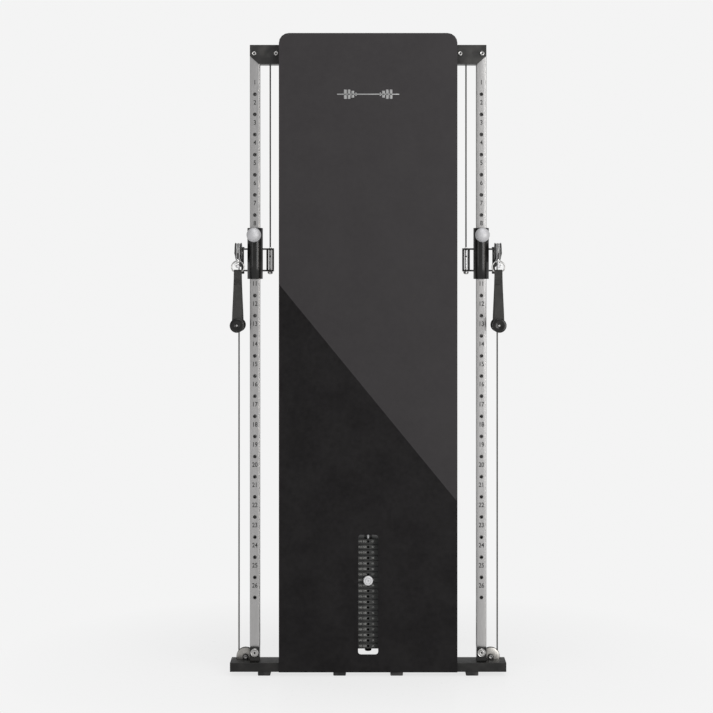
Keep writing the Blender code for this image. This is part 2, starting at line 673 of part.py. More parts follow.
def make_cables(machine):
    """The cable of each side, in five lengths that meet end to end along its route."""
    cut = END_GAP
    anchor_z = ARM_Z[1] + 0.006
    loop_inner, loop_outer = LOOP_X - TOP_RUN_RADIUS, LOOP_X + TOP_RUN_RADIUS
    centre_x = DOWN_X + BASE_CENTRE_RADIUS
    for name, side in SIDES.items():
        inner = [(-INNER_CABLE_X, anchor_z), (-INNER_CABLE_X, BOLT_Z - cut)]
        top = arc((-TOP_SIDE_X, BOLT_Z), TOP_RUN_RADIUS, 180, 90)
        top += arc((-LOOP_X, BOLT_Z), TOP_RUN_RADIUS, 90, 0)
        loop = [(-loop_inner, BOLT_Z - cut)]
        loop += arc((-LOOP_X, LOOP_Z), TOP_RUN_RADIUS, 0, -180, 12)
        loop += [(-loop_outer, TURN_Z - cut)]
        down = arc((-TURN_X, TURN_Z), TURN_RADIUS, 0, 180, 12)
        base_z = BASE_RUN_Z + BASE_CENTRE_RADIUS
        down += arc((-centre_x, base_z), BASE_CENTRE_RADIUS, 0, -90)
        down += arc((-BASE_SIDE_X, BASE_RUN_Z + BASE_SIDE_RADIUS), BASE_SIDE_RADIUS, -90, -180)
        for part, points in (("inner", inner), ("top", top), ("loop", loop), ("down", down)):
            cable(machine, f"cable_{part}_{name}", points, side)
        start = (side * OUTER_CABLE_X, CABLE_Y, BASE_RUN_Z + BASE_SIDE_RADIUS + cut)
        outer = [start]
        for step in range(13):
            angle = math.pi * step / 12
            y = WHEEL_Y + WHEEL_RADIUS * math.cos(angle)
            z = WHEEL_Z + WHEEL_RADIUS * math.sin(angle)
            outer.append((side * OUTER_CABLE_X, y, z))
        outer.append((side * OUTER_CABLE_X, HANDLE_Y, STOP_Z + STOP_RADIUS + FIT_GAP))
        cable_3d(machine, f"cable_outer_{name}", outer)


# ---------------------------------------------------------------- carriages and handles


def arm_outline(side):
    """One arm seen from above: a band round the sleeve that reaches the swivel pin and the anchor."""
    swivel = Vector((SWIVEL_X, SWIVEL_Y))
    points = [
        (UPRIGHT_X - 0.062, 0.036),
        (UPRIGHT_X - 0.062, 0.012),
        (UPRIGHT_X - 0.028, -0.006),
        (UPRIGHT_X + 0.010, -0.022),
        (UPRIGHT_X + 0.0265, -0.004),
        (UPRIGHT_X + 0.035, 0.020),
    ]
    for step in range(7):
        angle = math.radians(-20 + 115 * step / 6)
        points.append(tuple(swivel + Vector((math.cos(angle), math.sin(angle))) * 0.0085))
    points.append((UPRIGHT_X - 0.010, 0.038))
    return [(side * x, y) for x, y in points]


def make_carriage(machine, name, side):
    x = side * UPRIGHT_X
    sleeve = rod(f"carriage_{name}", (x, 0, SLEEVE_LOW), (x, 0, SLEEVE_TOP), SLEEVE_RADIUS, 28)
    carriage = Piece(machine, sleeve, "black_paint")
    for z in ARM_Z:
        carriage.join(plate("arm", arm_outline(side), 2 * ARM_HALF, (0, 0, z)))
    for edge in (INNER_CABLE_X - 0.0125, INNER_CABLE_X + 0.0065):
        low, high = sorted((side * edge, side * (edge + 0.006)))
        carriage.join(box("cheek", (low, 0.014, ARM_Z[0]), (high, 0.034, ARM_Z[1])))
    at = (side * INNER_CABLE_X, CABLE_Y)
    carriage.join(rod("anchor", (*at, ARM_Z[0] - 0.010), (*at, ARM_Z[1] + 0.005), 0.004, 12))
    carriage.join(rod("anchor_nut", (*at, ARM_Z[0] - 0.0105), (*at, ARM_Z[0]), 0.009, 12))
    carriage.join(rod("pin_housing", (x, -0.048, PIN_Z), (x, -SLEEVE_BORE - 0.001, PIN_Z), 0.009))
    carriage.cut(
        rod("bore", (x, 0, SLEEVE_LOW - 0.01), (x, 0, SLEEVE_TOP + 0.01), SLEEVE_BORE, 28),
        rod("pin_way", (x, -0.060, PIN_Z), (x, 0, PIN_Z), PULL_PIN_RADIUS + 0.0005, 12),
    )
    for z in ARM_Z:
        swivel = (side * SWIVEL_X, SWIVEL_Y)
        carriage.cut(rod("pin_eye", (*swivel, z - 0.01), (*swivel, z + 0.01), SWIVEL_PIN + 0.0004, 16))


def make_pull_knob(machine, name, side):
    x = side * UPRIGHT_X
    knob = Piece(machine, ball(f"pull_knob_{name}", (x, BALL_Y, PIN_Z), BALL_RADIUS), "satin_silver")
    tip = -UPRIGHT_HALF - PULL_PIN_CLEAR
    knob.join(rod("pin", (x, BALL_Y + 0.010, PIN_Z), (x, tip, PIN_Z), PULL_PIN_RADIUS, 12))


def make_swivel(machine, name, side):
    pin_at = (side * SWIVEL_X, SWIVEL_Y)
    pin = rod(f"swivel_{name}", (*pin_at, ARM_Z[0] - 0.011), (*pin_at, ARM_Z[1] + 0.007), SWIVEL_PIN)
    swivel = Piece(machine, pin, "black_paint")
    reach = PULLEY_HALF + 0.0015
    plate_low, plate_high = WHEEL_Z - 0.027, WHEEL_Z + 0.002
    back_low, back_high = WHEEL_Y + WHEEL_OUTER + 0.0015, SWIVEL_Y - 0.001
    for direction in (-1, 1):
        near = side * OUTER_CABLE_X + direction * reach
        far = near + direction * 0.0025
        low, high = min(near, far), max(near, far)
        swivel.join(
            box("cheek", (low, WHEEL_Y, plate_low), (high, back_high, plate_high)),
            rod("cheek_eye", (low, WHEEL_Y, WHEEL_Z), (high, WHEEL_Y, WHEEL_Z), 0.009),
        )
    outer_edge = side * (OUTER_CABLE_X + reach + 0.0025)
    inner_edge = side * SWIVEL_X
    swivel.join(
        box(
            "back",
            (min(outer_edge, inner_edge), back_low, plate_low),
            (max(outer_edge, inner_edge), back_high, plate_high),
        ),
        rod(
            "axle",
            (side * OUTER_CABLE_X - reach - 0.001, WHEEL_Y, WHEEL_Z),
            (side * OUTER_CABLE_X + reach + 0.001, WHEEL_Y, WHEEL_Z),
            AXLE_RADIUS,
        ),
    )


def strap_outline():
    """The webbing seen from the side: one band that forks into two legs, as (y, z) points."""
    half, spread = STRAP_HALF, STRAP_SPREAD
    foot = GRIP_Z + GRIP_BARREL + 0.001
    leg = [
        (2 * half, STRAP_TOP),
        (2 * half, STRAP_FORK + 0.004),
        (spread + half, foot + 0.014),
        (spread + half, foot),
        (spread - half, foot),
        (spread - half, foot + 0.012),
    ]
    return leg + [(0, STRAP_FORK - 0.007)] + [(-y, z) for y, z in reversed(leg)]


def make_handle(machine, name, side):
    at = (side * OUTER_CABLE_X, HANDLE_Y)
    hook = Piece(machine, ball(f"snap_hook_{name}", (*at, STOP_Z), STOP_RADIUS), "chrome")
    hook.join(
        rod("shank", (*at, STOP_Z - 0.020), (*at, STOP_Z), 0.0035, 12),
        torus("ring", (*at, RING_Z), RING_RADIUS, RING_WIRE),
    )
    strap = plate(f"handle_strap_{name}", strap_outline(), 2 * STRAP_HALF_WIDTH, (*at, 0), turn_to_side())
    strap = Piece(machine, strap, "webbing")
    strap.cut(torus("ring_way", (*at, RING_Z), RING_RADIUS, RING_WIRE + 0.0005))
    half, flange, barrel = GRIP_HALF_LENGTH, GRIP_FLANGE, GRIP_BARREL
    neck = half - GRIP_FLANGE_THICKNESS
    profile = [
        (flange - 0.003, half),
        (flange, half - 0.003),
        (flange, neck),
        (barrel, neck),
        (barrel, -neck),
        (flange, -neck),
        (flange, -half + 0.003),
        (flange - 0.003, -half),
        (0.004, -half),
        (0.004, half),
    ]
    Piece(machine, turned(f"handle_grip_{name}", profile, (*at, GRIP_Z), "Y", 20), "rubber")


def turn_to_side():
    """Turns an outline's (x, y) plane into the machine's (y, z) plane."""
    return (math.pi / 2, 0, math.pi / 2)


def main():
    machine = clear_scene()
    make_base(machine)
    make_feet(machine)
    make_uprights(machine)
    make_crossbar(machine)
    make_panel(machine)
    make_stack(machine)
    make_pulleys(machine)
    make_cables(machine)
    for name, side in SIDES.items():
        make_carriage(machine, name, side)
        make_pull_knob(machine, name, side)
        make_swivel(machine, name, side)
        make_handle(machine, name, side)


main()
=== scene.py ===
"""Cable crossover machine: the finished look of every piece, built around its fixed frame.

Metres, +Z up, the front faces -Y. Each sub-assembly is a class: its sizes are its fields, and its methods
model its pieces on the bench, give them their finish and fix them on the body that carries them.
"""

import json
import logging
import math
from collections.abc import Callable, Sequence
from dataclasses import dataclass
from enum import Enum
from functools import lru_cache

import bmesh
import bpy
from mathutils import Matrix, Vector

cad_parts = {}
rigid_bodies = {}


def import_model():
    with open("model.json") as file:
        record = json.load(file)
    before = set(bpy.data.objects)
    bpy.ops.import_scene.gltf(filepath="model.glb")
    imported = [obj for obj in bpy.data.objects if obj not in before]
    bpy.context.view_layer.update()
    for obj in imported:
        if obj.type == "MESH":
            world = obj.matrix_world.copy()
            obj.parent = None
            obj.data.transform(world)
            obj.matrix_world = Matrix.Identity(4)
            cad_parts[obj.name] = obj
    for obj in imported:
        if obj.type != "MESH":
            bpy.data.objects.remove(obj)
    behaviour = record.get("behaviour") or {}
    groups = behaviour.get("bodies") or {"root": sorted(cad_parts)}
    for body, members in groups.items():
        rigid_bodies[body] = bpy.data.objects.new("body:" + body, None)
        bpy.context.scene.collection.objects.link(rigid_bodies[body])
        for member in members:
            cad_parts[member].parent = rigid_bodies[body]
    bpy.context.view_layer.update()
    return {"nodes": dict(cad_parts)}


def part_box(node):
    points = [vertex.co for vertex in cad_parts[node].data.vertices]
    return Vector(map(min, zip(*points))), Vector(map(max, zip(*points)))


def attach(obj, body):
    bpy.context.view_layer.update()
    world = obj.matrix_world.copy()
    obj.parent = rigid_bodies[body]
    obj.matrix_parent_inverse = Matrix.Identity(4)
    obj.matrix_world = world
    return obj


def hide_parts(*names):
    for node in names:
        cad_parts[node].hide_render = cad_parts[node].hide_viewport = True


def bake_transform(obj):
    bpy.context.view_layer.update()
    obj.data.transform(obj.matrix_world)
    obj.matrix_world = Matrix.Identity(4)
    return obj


for leftover in list(bpy.data.objects):
    bpy.data.objects.remove(leftover, do_unlink=True)
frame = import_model()

LOG = logging.getLogger("crossover")
Colour = tuple[float, float, float]
Point = tuple[float, float, float]
Flat = tuple[float, float]

UPRIGHT_LOW, UPRIGHT_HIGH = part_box("upright_left")
PLANE_Y = (UPRIGHT_LOW.y + UPRIGHT_HIGH.y) / 2
UPRIGHT_X = abs(UPRIGHT_LOW.x + UPRIGHT_HIGH.x) / 2
UPRIGHT_FRONT = UPRIGHT_LOW.y
CABLE_RADIUS = 0.0025
CABLE_Y = PLANE_Y + 0.024


class Side(Enum):
    """The two sides of the machine, seen from the front."""

    LEFT = -1
    RIGHT = 1

    @property
    def label(self) -> str:
        """The word that this side adds to a piece's name."""
        return self.name.lower()

    def x(self, distance: float) -> float:
        """The X of a point at this distance from the middle of the machine."""
        return self.value * distance


class Axis(Enum):
    """The axis that a turned piece spins about, as the turn that brings the bench's Z onto it."""

    X = (0.0, math.pi / 2, 0.0)
    Y = (-math.pi / 2, 0.0, 0.0)
    Z = (0.0, 0.0, 0.0)


def machine_y(distance: float) -> float:
    """The Y of a point at this distance behind the plane of the uprights."""
    return PLANE_Y + distance


# ---------------------------------------------------------------- the bench


def select_only(*objects: bpy.types.Object) -> None:
    """Leave object mode and select these objects alone, the first one active.

    Args:
        objects: what stays selected.
    """
    if bpy.context.object and bpy.context.object.mode != "OBJECT":
        bpy.ops.object.mode_set(mode="OBJECT")
    bpy.ops.object.select_all(action="DESELECT")
    for obj in objects:
        obj.select_set(True)
    if objects:
        bpy.context.view_layer.objects.active = objects[0]


class Blank:
    """One piece on the bench: a primitive that is cut, pushed and pulled into its final shape."""

    def __init__(self, name: str) -> None:
        """Take the active object as the blank, with its place in its mesh.

        Args:
            name: the piece's name.
        """
        self.obj = bpy.context.object
        self.obj.name = name
        self.obj.data.name = name
        self.settle()

    def settle(self) -> "Blank":
        """Apply the object's place, turn and size to its mesh, and return the blank."""
        select_only(self.obj)
        bpy.ops.object.transform_apply(location=True, rotation=True, scale=True)
        return self

    @classmethod
    def block(cls, name: str, low: Sequence[float], high: Sequence[float]) -> "Blank":
        """A block between two corners.

        Args:
            name: the piece's name.
            low: its lowest corner.
            high: its highest corner.

        Returns:
            The blank, ready for shaping.
        """
        select_only()
        low, high = Vector(low), Vector(high)
        bpy.ops.mesh.primitive_cube_add(size=1.0, location=(low + high) / 2)
        bpy.context.object.scale = high - low
        return cls(name)

    @classmethod
    def bar(cls, name: str, start: Point, end: Point, radius: float, sides: int = 32) -> "Blank":
        """A round bar between two points.

        Args:
            name: the piece's name.
            start: the middle of one end.
            end: the middle of the other end.
            radius: its radius.
            sides: how many flats make its round side.

        Returns:
            The blank, ready for shaping.
        """
        select_only()
        along = Vector(end) - Vector(start)
        bpy.ops.mesh.primitive_cylinder_add(
            vertices=sides,
            radius=radius,
            depth=along.length,
            location=(Vector(start) + Vector(end)) / 2,
            rotation=along.to_track_quat("Z", "Y").to_euler(),
        )
        return cls(name)

    @classmethod
    def ball(cls, name: str, centre: Point, radius: float, sides: int = 32) -> "Blank":
        """A ball round a point.

        Args:
            name: the piece's name.
            centre: its middle.
            radius: its radius.
            sides: how many segments go round it.

        Returns:
            The blank, ready for shaping.
        """
        select_only()
        bpy.ops.mesh.primitive_uv_sphere_add(
            segments=sides, ring_count=sides // 2, radius=radius, location=centre
        )
        return cls(name)

    @classmethod
    def turned(
        cls, name: str, centre: Point, axis: Axis, profile: Sequence[Flat],
        bored: bool = False, sides: int = 48,
    ) -> "Blank":
        """A turned piece: one circle, extruded and resized from station to station.

        Args:
            name: the piece's name.
            centre: where the profile's height zero lies.
            axis: the axis that it is turned about.
            profile: (radius, height) of each station.
            bored: whether the last station joins the first, leaving a bore, instead of flat ends.
            sides: how many segments go round it.

        Returns:
            The blank, ready for shaping.
        """
        select_only()
        radius, height = profile[0]
        bpy.ops.mesh.primitive_circle_add(vertices=sides, radius=radius, location=(0, 0, height))
        blank = cls(name)
        bpy.ops.object.mode_set(mode="EDIT")
        bpy.ops.mesh.select_mode(type="VERT")
        bpy.ops.mesh.select_all(action="SELECT")
        if not bored:
            bpy.ops.mesh.edge_face_add()
        for next_radius, next_height in list(profile[1:]) + ([profile[0]] if bored else []):
            rise = (0, 0, next_height - height)
            bpy.ops.mesh.extrude_region_move(TRANSFORM_OT_translate={"value": rise})
            factor = next_radius / radius
            bpy.ops.transform.resize(value=(factor, factor, 1), center_override=(0, 0, next_height))
            radius, height = next_radius, next_height
        bpy.ops.mesh.select_all(action="SELECT")
        bpy.ops.mesh.remove_doubles(threshold=0.000002)
        bpy.ops.mesh.normals_make_consistent(inside=False)
        bpy.ops.object.mode_set(mode="OBJECT")
        blank.obj.rotation_euler = axis.value
        blank.obj.location = centre
        return blank.settle()

    @classmethod
    def outline(
        cls, name: str, points: Sequence[Flat], thickness: float, centre: Point, turn: Point = (0, 0, 0)
    ) -> "Blank":
        """A flat plate cut to an outline.

        Args:
            name: the piece's name.
            points: the outline's corners in its own plane.
            thickness: how thick the plate is.
            centre: where the outline's origin goes.
            turn: how the outline's plane is turned.

        Returns:
            The blank, as a mesh, ready for shaping.
        """
        select_only()
        curve = bpy.data.curves.new(name, "CURVE")
        curve.dimensions = "2D"
        curve.fill_mode = "BOTH"
        curve.extrude = thickness / 2
        line = curve.splines.new("POLY")
        line.points.add(len(points) - 1)
        for point, (x, y) in zip(line.points, points):
            point.co = (x, y, 0, 1)
        line.use_cyclic_u = True
        obj = bpy.data.objects.new(name, curve)
        bpy.context.scene.collection.objects.link(obj)
        select_only(obj)
        bpy.ops.object.convert(target="MESH")
        obj.rotation_euler = turn
        obj.location = centre
        blank = cls(name)
        return blank.merged()

    @classmethod
    def tube(cls, name: str, points: Sequence[Point], radius: float, smooth: bool = False) -> "Blank":
        """A round tube that follows points.

        Args:
            name: the piece's name.
            points: the points of its centre line.
            radius: its radius.
            smooth: whether the line is rounded between the points.

        Returns:
            The blank, as a closed mesh.
        """
        select_only()
        curve = bpy.data.curves.new(name, "CURVE")
        curve.dimensions = "3D"
        curve.bevel_depth = radius
        curve.bevel_resolution = 4
        curve.resolution_u = 6
        curve.use_fill_caps = True
        line = curve.splines.new("NURBS" if smooth else "POLY")
        line.points.add(len(points) - 1)
        for point, place in zip(line.points, points):
            point.co = (*place, 1)
        if smooth:
            line.order_u = 3
            line.use_endpoint_u = True
        obj = bpy.data.objects.new(name, curve)
        bpy.context.scene.collection.objects.link(obj)
        select_only(obj)
        bpy.ops.object.convert(target="MESH")
        return cls(name).merged()

    @classmethod
    def ring(cls, name: str, centre: Point, axis: Axis, radius: float, wire: float) -> "Blank":
        """A ring of round wire.

        Args:
            name: the piece's name.
            centre: its middle.
            axis: the axis that it lies round.
            radius: from its middle to the middle of the wire.
            wire: the wire's radius.

        Returns:
            The blank, ready for shaping.
        """
        select_only()
        bpy.ops.mesh.primitive_torus_add(
            major_radius=radius,
            minor_radius=wire,
            major_segments=48,
            minor_segments=14,
            location=centre,
            rotation=axis.value,
        )
        return cls(name)

    @classmethod
    def figures(
        cls, name: str, text: str, size: float, centre: Point, stretch: float = 1.0, weight: float = 0.0
    ) -> "Blank":
        """Raised figures that face the front.

        Args:
            name: the piece's name.
            text: the figures.
            size: the height of the type.
            centre: the middle of the figures' back.
            stretch: how wide they are for their height.
            weight: how much their strokes are thickened.

        Returns:
            The blank, as a mesh.
        """
        select_only()
        bpy.ops.object.text_add(location=(0, 0, 0))
        obj = bpy.context.object
        obj.data.body = text
        obj.data.size = size
        obj.data.extrude = 0.00012
        obj.data.offset = weight
        obj.data.align_x = "CENTER"
        obj.data.align_y = "CENTER"
        bpy.ops.object.convert(target="MESH")
        obj.scale = (stretch, 1.0, 1.0)
        obj.rotation_euler = (math.pi / 2, 0, 0)
        obj.location = centre
        return cls(name)

    def merged(self) -> "Blank":
        """Merge doubled points, turn every face outwards and return the blank."""
        self.edit("VERT", lambda vert: True)
        bpy.ops.mesh.remove_doubles(threshold=0.000002)
        bpy.ops.mesh.normals_make_consistent(inside=False)
        bpy.ops.object.mode_set(mode="OBJECT")
        return self

    def edit(self, kind: str, where: Callable) -> "Blank":
        """Open the mesh for editing with some of it selected.

        Args:
            kind: VERT, EDGE or FACE.
            where: says of each of them whether it is selected.

        Returns:
            The blank, in edit mode.
        """
        select_only(self.obj)
        bpy.ops.object.mode_set(mode="EDIT")
        bpy.ops.mesh.select_mode(type=kind)
        bpy.ops.mesh.select_all(action="DESELECT")
        data = bmesh.from_edit_mesh(self.obj.data)
        items = {"VERT": data.verts, "EDGE": data.edges, "FACE": data.faces}[kind]
        for item in items:
            item.select_set(bool(where(item)))
        bmesh.update_edit_mesh(self.obj.data)
        return self

    def inset(self, where: Callable, thickness: float, depth: float = 0.0) -> "Blank":
        """Inset some faces, and sink or raise what is inside.

        Args:
            where: picks the faces.
            thickness: the width of the new border.
            depth: how far the inside is raised.

        Returns:
            The blank.
        """
        self.edit("FACE", where)
        bpy.ops.mesh.inset(thickness=thickness, depth=0.0)
        if depth:
            normal = sum((f.normal for f in bmesh.from_edit_mesh(self.obj.data).faces if f.select), Vector())
            bpy.ops.mesh.extrude_region_move(TRANSFORM_OT_translate={"value": normal.normalized() * depth})
        bpy.ops.object.mode_set(mode="OBJECT")
        return self

    def bevel(self, width: float, segments: int = 2, where: Callable | None = None) -> "Blank":
        """Round the sharp edges, or those that are picked.

        Args:
            width: how wide the rounding is.
            segments: how many steps it has.
            where: picks the edges; all sharp ones if left out.

        Returns:
            The blank.
        """
        if where:
            self.edit("EDGE", where)
            bpy.ops.mesh.bevel(offset=width, segments=segments)
            bpy.ops.object.mode_set(mode="OBJECT")
            return self
        rounding = self.obj.modifiers.new("round", "BEVEL")
        rounding.width = width
        rounding.segments = segments
        rounding.limit_method = "ANGLE"
        rounding.angle_limit = math.radians(40)
        return self.apply(rounding)

    def apply(self, modifier: bpy.types.Modifier) -> "Blank":
        """Apply one modifier to the mesh and return the blank."""
        select_only(self.obj)
        bpy.ops.object.modifier_apply(modifier=modifier.name)
        return self

    def cut(self, *tools: "Blank") -> "Blank":
        """Cut other blanks from this one; they are used up.

        Args:
            tools: the cutting shapes.

        Returns:
            The blank.
        """
        for tool in tools:
            boolean = self.obj.modifiers.new("cut", "BOOLEAN")
            boolean.operation = "DIFFERENCE"
            boolean.solver = "EXACT"
            boolean.object = tool.obj
            self.apply(boolean)
            bpy.data.objects.remove(tool.obj, do_unlink=True)
        return self

    def with_parts(self, *parts: "Blank") -> "Blank":
        """Join more blanks to this one as one piece, and return it."""
        select_only(self.obj, *(part.obj for part in parts))
        bpy.ops.object.join()
        return self

    def copy(self, name: str, offset: Point) -> "Blank":
        """A copy with a mesh of its own.

        Args:
            name: the copy's name.
            offset: how far from this one it lies.

        Returns:
            The copy, as a blank.
        """
        obj = self.obj.copy()
        obj.data = self.obj.data.copy()
        obj.data.transform(Matrix.Translation(offset))
        bpy.context.scene.collection.objects.link(obj)
        select_only(obj)
        return Blank(name)

    def done(
        self, finish: "Finish", body: str | None, nodes: Sequence[str] = (), smooth: float = 35
    ) -> "Blank":
        """Shade the piece, give it its finish and fix it on its body.

        Args:
            finish: its finish.
            body: the body that carries it, or None for a piece that is left unattached.
            nodes: the CAD nodes that it stands for.
            smooth: edges flatter than this angle, in degrees, are shaded smooth.

        Returns:
            The blank.
        """
        select_only(self.obj)
        bpy.ops.object.shade_smooth_by_angle(angle=math.radians(smooth))
        self.obj.data.materials.clear()
        self.obj.data.materials.append(finish.material())
        if body:
            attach(self.obj, body)
        if nodes:
            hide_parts(*nodes)
        LOG.info("%s: %s, %d faces", self.obj.name, finish.name, len(self.obj.data.polygons))
        return self


def dress(node: str, finish: "Finish") -> None:
    """Give a CAD node that keeps its shape its finish.

    Args:
        node: the node's name.
        finish: its finish.
    """
    obj = frame["nodes"][node]
    if not obj.material_slots:
        obj.data.materials.append(None)
    for slot in obj.material_slots:
        slot.material = finish.material()
    LOG.info("%s: %s on the CAD shape", node, finish.name)


# ---------------------------------------------------------------- effects that finishes share


class Sheet:
    """A node tree that takes nodes and links in short calls."""

    def __init__(self, tree: bpy.types.NodeTree) -> None:
        """Work on this tree."""
        self.tree = tree

    def add(self, kind: str, *sources: tuple[str, object], **settings: object) -> bpy.types.Node:
        """Add a node.

        Args:
            kind: the node's type without its ShaderNode prefix.
            sources: (input name or number, number, colour or output socket) pairs.
            settings: the node's own properties.

        Returns:
            The node.
        """
        node = self.tree.nodes.new(kind if kind.startswith("NodeGroup") else f"ShaderNode{kind}")
        for name, value in settings.items():
            setattr(node, name, value)
        self.feed(node, *sources)
        return node

    def feed(self, node: bpy.types.Node, *sources: tuple[object, object]) -> None:
        """Set or link a node's inputs.

        Args:
            node: the node.
            sources: (input name or number, number, colour or output socket) pairs.
        """
        for name, value in sources:
            if isinstance(value, bpy.types.NodeSocket):
                self.tree.links.new(value, node.inputs[name])
            else:
                node.inputs[name].default_value = value

    def math(self, operation: str, first: object, second: object = 0.0) -> bpy.types.NodeSocket:
        """The result of one math operation on two values or sockets."""
        return self.add("Math", (0, first), (1, second), operation=operation).outputs[0]

    def mix(self, factor: object, first: object, second: object) -> bpy.types.NodeSocket:
        """The blend of two colours by a factor."""
        node = self.add("Mix", data_type="RGBA")
        self.feed(node, ("Factor", factor), (6, first), (7, second))
        return node.outputs[2]

    def span(
        self, value: object, low: float, high: float, to_low: float, to_high: float
    ) -> bpy.types.NodeSocket:
        """The value with one range stretched onto another and clamped."""
        pairs = (("Value", value), (1, low), (2, high), (3, to_low), (4, to_high))
        return self.add("MapRange", *pairs).outputs[0]


class Effect(Enum):
    """A pattern that several finishes share, each one a node group built once."""

    GRAIN = "fine_grain"
    BRUSHED = "brushed_streaks"
    WEAVE = "webbing_weave"
    TWIST = "wire_strands"
    FOAM = "foam_cells"

    @property
    def group(self) -> bpy.types.NodeTree:
        """The node group, made on first use."""
        return effect_group(self)


@lru_cache(maxsize=None)
def effect_group(effect: Effect) -> bpy.types.NodeTree:
    """Build an effect's node group: a vector and a size in, a shade and a height out.

    Args:
        effect: which effect.

    Returns:
        The group.
    """
    tree = bpy.data.node_groups.new(effect.value, "ShaderNodeTree")
    tree.interface.new_socket("Vector", in_out="INPUT", socket_type="NodeSocketVector")
    size = tree.interface.new_socket("Scale", in_out="INPUT", socket_type="NodeSocketFloat")
    size.default_value = 100.0
    for output in ("Shade", "Height"):
        tree.interface.new_socket(output, in_out="OUTPUT", socket_type="NodeSocketFloat")
    sheet = Sheet(tree)
    given = sheet.add("NodeGroupInput").outputs
    vector, scale = given["Vector"], given["Scale"]
    broad = sheet.add(
        "TexNoise", ("Vector", vector), ("Scale", sheet.math("MULTIPLY", scale, 0.06)), ("Detail", 3.0)
    )
    if effect is Effect.WEAVE:
        shade, height = weave_pattern(sheet, vector, scale)
    elif effect is Effect.TWIST:
        bands = sheet.add("TexWave", ("Vector", vector), ("Scale", scale), ("Distortion", 0.4))
        bands.bands_direction = "DIAGONAL"
        shade = height = bands.outputs["Fac"]
    elif effect is Effect.FOAM:
        cells = sheet.add("TexVoronoi", ("Vector", vector), ("Scale", scale))
        shade = height = sheet.math("SUBTRACT", 1.0, cells.outputs["Distance"])
    else:
        detail = 9.0 if effect is Effect.GRAIN else 4.0
        fine = sheet.add(
            "TexNoise", ("Vector", vector), ("Scale", scale), ("Detail", detail), ("Roughness", 0.6)
        )
        shade = height = fine.outputs["Fac"]
    broad_shade = sheet.math("MULTIPLY", broad.outputs["Fac"], 0.45)
    blend = sheet.math("ADD", sheet.math("MULTIPLY", shade, 0.55), broad_shade)
    result = sheet.add("NodeGroupOutput")
    sheet.feed(result, ("Shade", blend), ("Height", height))
    return tree


def weave_pattern(
    sheet: Sheet, vector: bpy.types.NodeSocket, scale: bpy.types.NodeSocket
) -> tuple[bpy.types.NodeSocket, bpy.types.NodeSocket]:
    """Warp and weft threads that pass over and under each other.

    Args:
        sheet: the tree to add to.
        vector: the coordinates.
        scale: threads per unit.

    Returns:
        The shade and the height of the cloth.
    """
    threads = []
    for direction in ("X", "Y"):
        wave = sheet.add(
            "TexWave", ("Vector", vector), ("Scale", scale), ("Distortion", 0.3), ("Detail", 1.0)
        )
        wave.bands_direction = direction
        threads.append(wave.outputs["Fac"])
    height = sheet.math("MULTIPLY", threads[0], threads[1])
    shade = sheet.math("MAXIMUM", height, sheet.math("MULTIPLY", threads[1], 0.6))
    return shade, height


@lru_cache(maxsize=None)
def wear_group() -> bpy.types.NodeTree:
    """Build the group for rubbed and dusty patches: a vector, a size and an amount in, a mask out."""
    tree = bpy.data.node_groups.new("rubbed_patches", "ShaderNodeTree")
    tree.interface.new_socket("Vector", in_out="INPUT", socket_type="NodeSocketVector")
    for name, value in (("Scale", 30.0), ("Amount", 0.3)):
        tree.interface.new_socket(name, in_out="INPUT", socket_type="NodeSocketFloat").default_value = value
    tree.interface.new_socket("Mask", in_out="OUTPUT", socket_type="NodeSocketFloat")
    sheet = Sheet(tree)
    given = sheet.add("NodeGroupInput").outputs
    patches = sheet.add("TexNoise", ("Vector", given["Vector"]), ("Scale", given["Scale"]), ("Detail", 6.0))
    scratches = sheet.add("TexVoronoi", ("Vector", given["Vector"]), ("Scale", given["Scale"]))
    streaks = sheet.math("ADD", scratches.outputs["Distance"], 0.55)
    spread = sheet.math("MULTIPLY", patches.outputs["Fac"], streaks)
    mask = sheet.math("MULTIPLY", sheet.span(spread, 0.38, 0.75, 0.0, 1.0), given["Amount"])
    sheet.feed(sheet.add("NodeGroupOutput"), ("Mask", mask))
    return tree


# ---------------------------------------------------------------- finishes


@dataclass(frozen=True)
class Finish:
    """One finish: a colour pair that its pattern fades between, with its shine, relief and wear."""

    name: str
    slot: str
    light: Colour
    dark: Colour
    roughness: float
    metallic: float = 0.0
    effect: Effect = Effect.GRAIN
    scale: float = 400.0
    stretch: Point = (1.0, 1.0, 1.0)
    relief: float = 0.08
    wear: float = 0.25
    wear_colour: Colour = (0.16, 0.155, 0.15)
    wear_scale: float = 28.0
    specular: float = 0.35
    coat: float = 0.0
    surface_map: bool = False

    def material(self) -> bpy.types.Material:
        """The finish as a material, made on first use."""
        return made_material(self)

    def base_colour(self, sheet: Sheet, place: bpy.types.NodeSocket, shade: bpy.types.NodeSocket) -> object:
        """The colour before wear.

        Args:
            sheet: the material's tree.
            place: its coordinates.
            shade: its pattern's shade.

        Returns:
            A colour socket.
        """
        factor = sheet.span(shade, 0.3, 0.7, 0.0, 1.0)
        return sheet.mix(factor, (*self.dark, 1.0), (*self.light, 1.0))


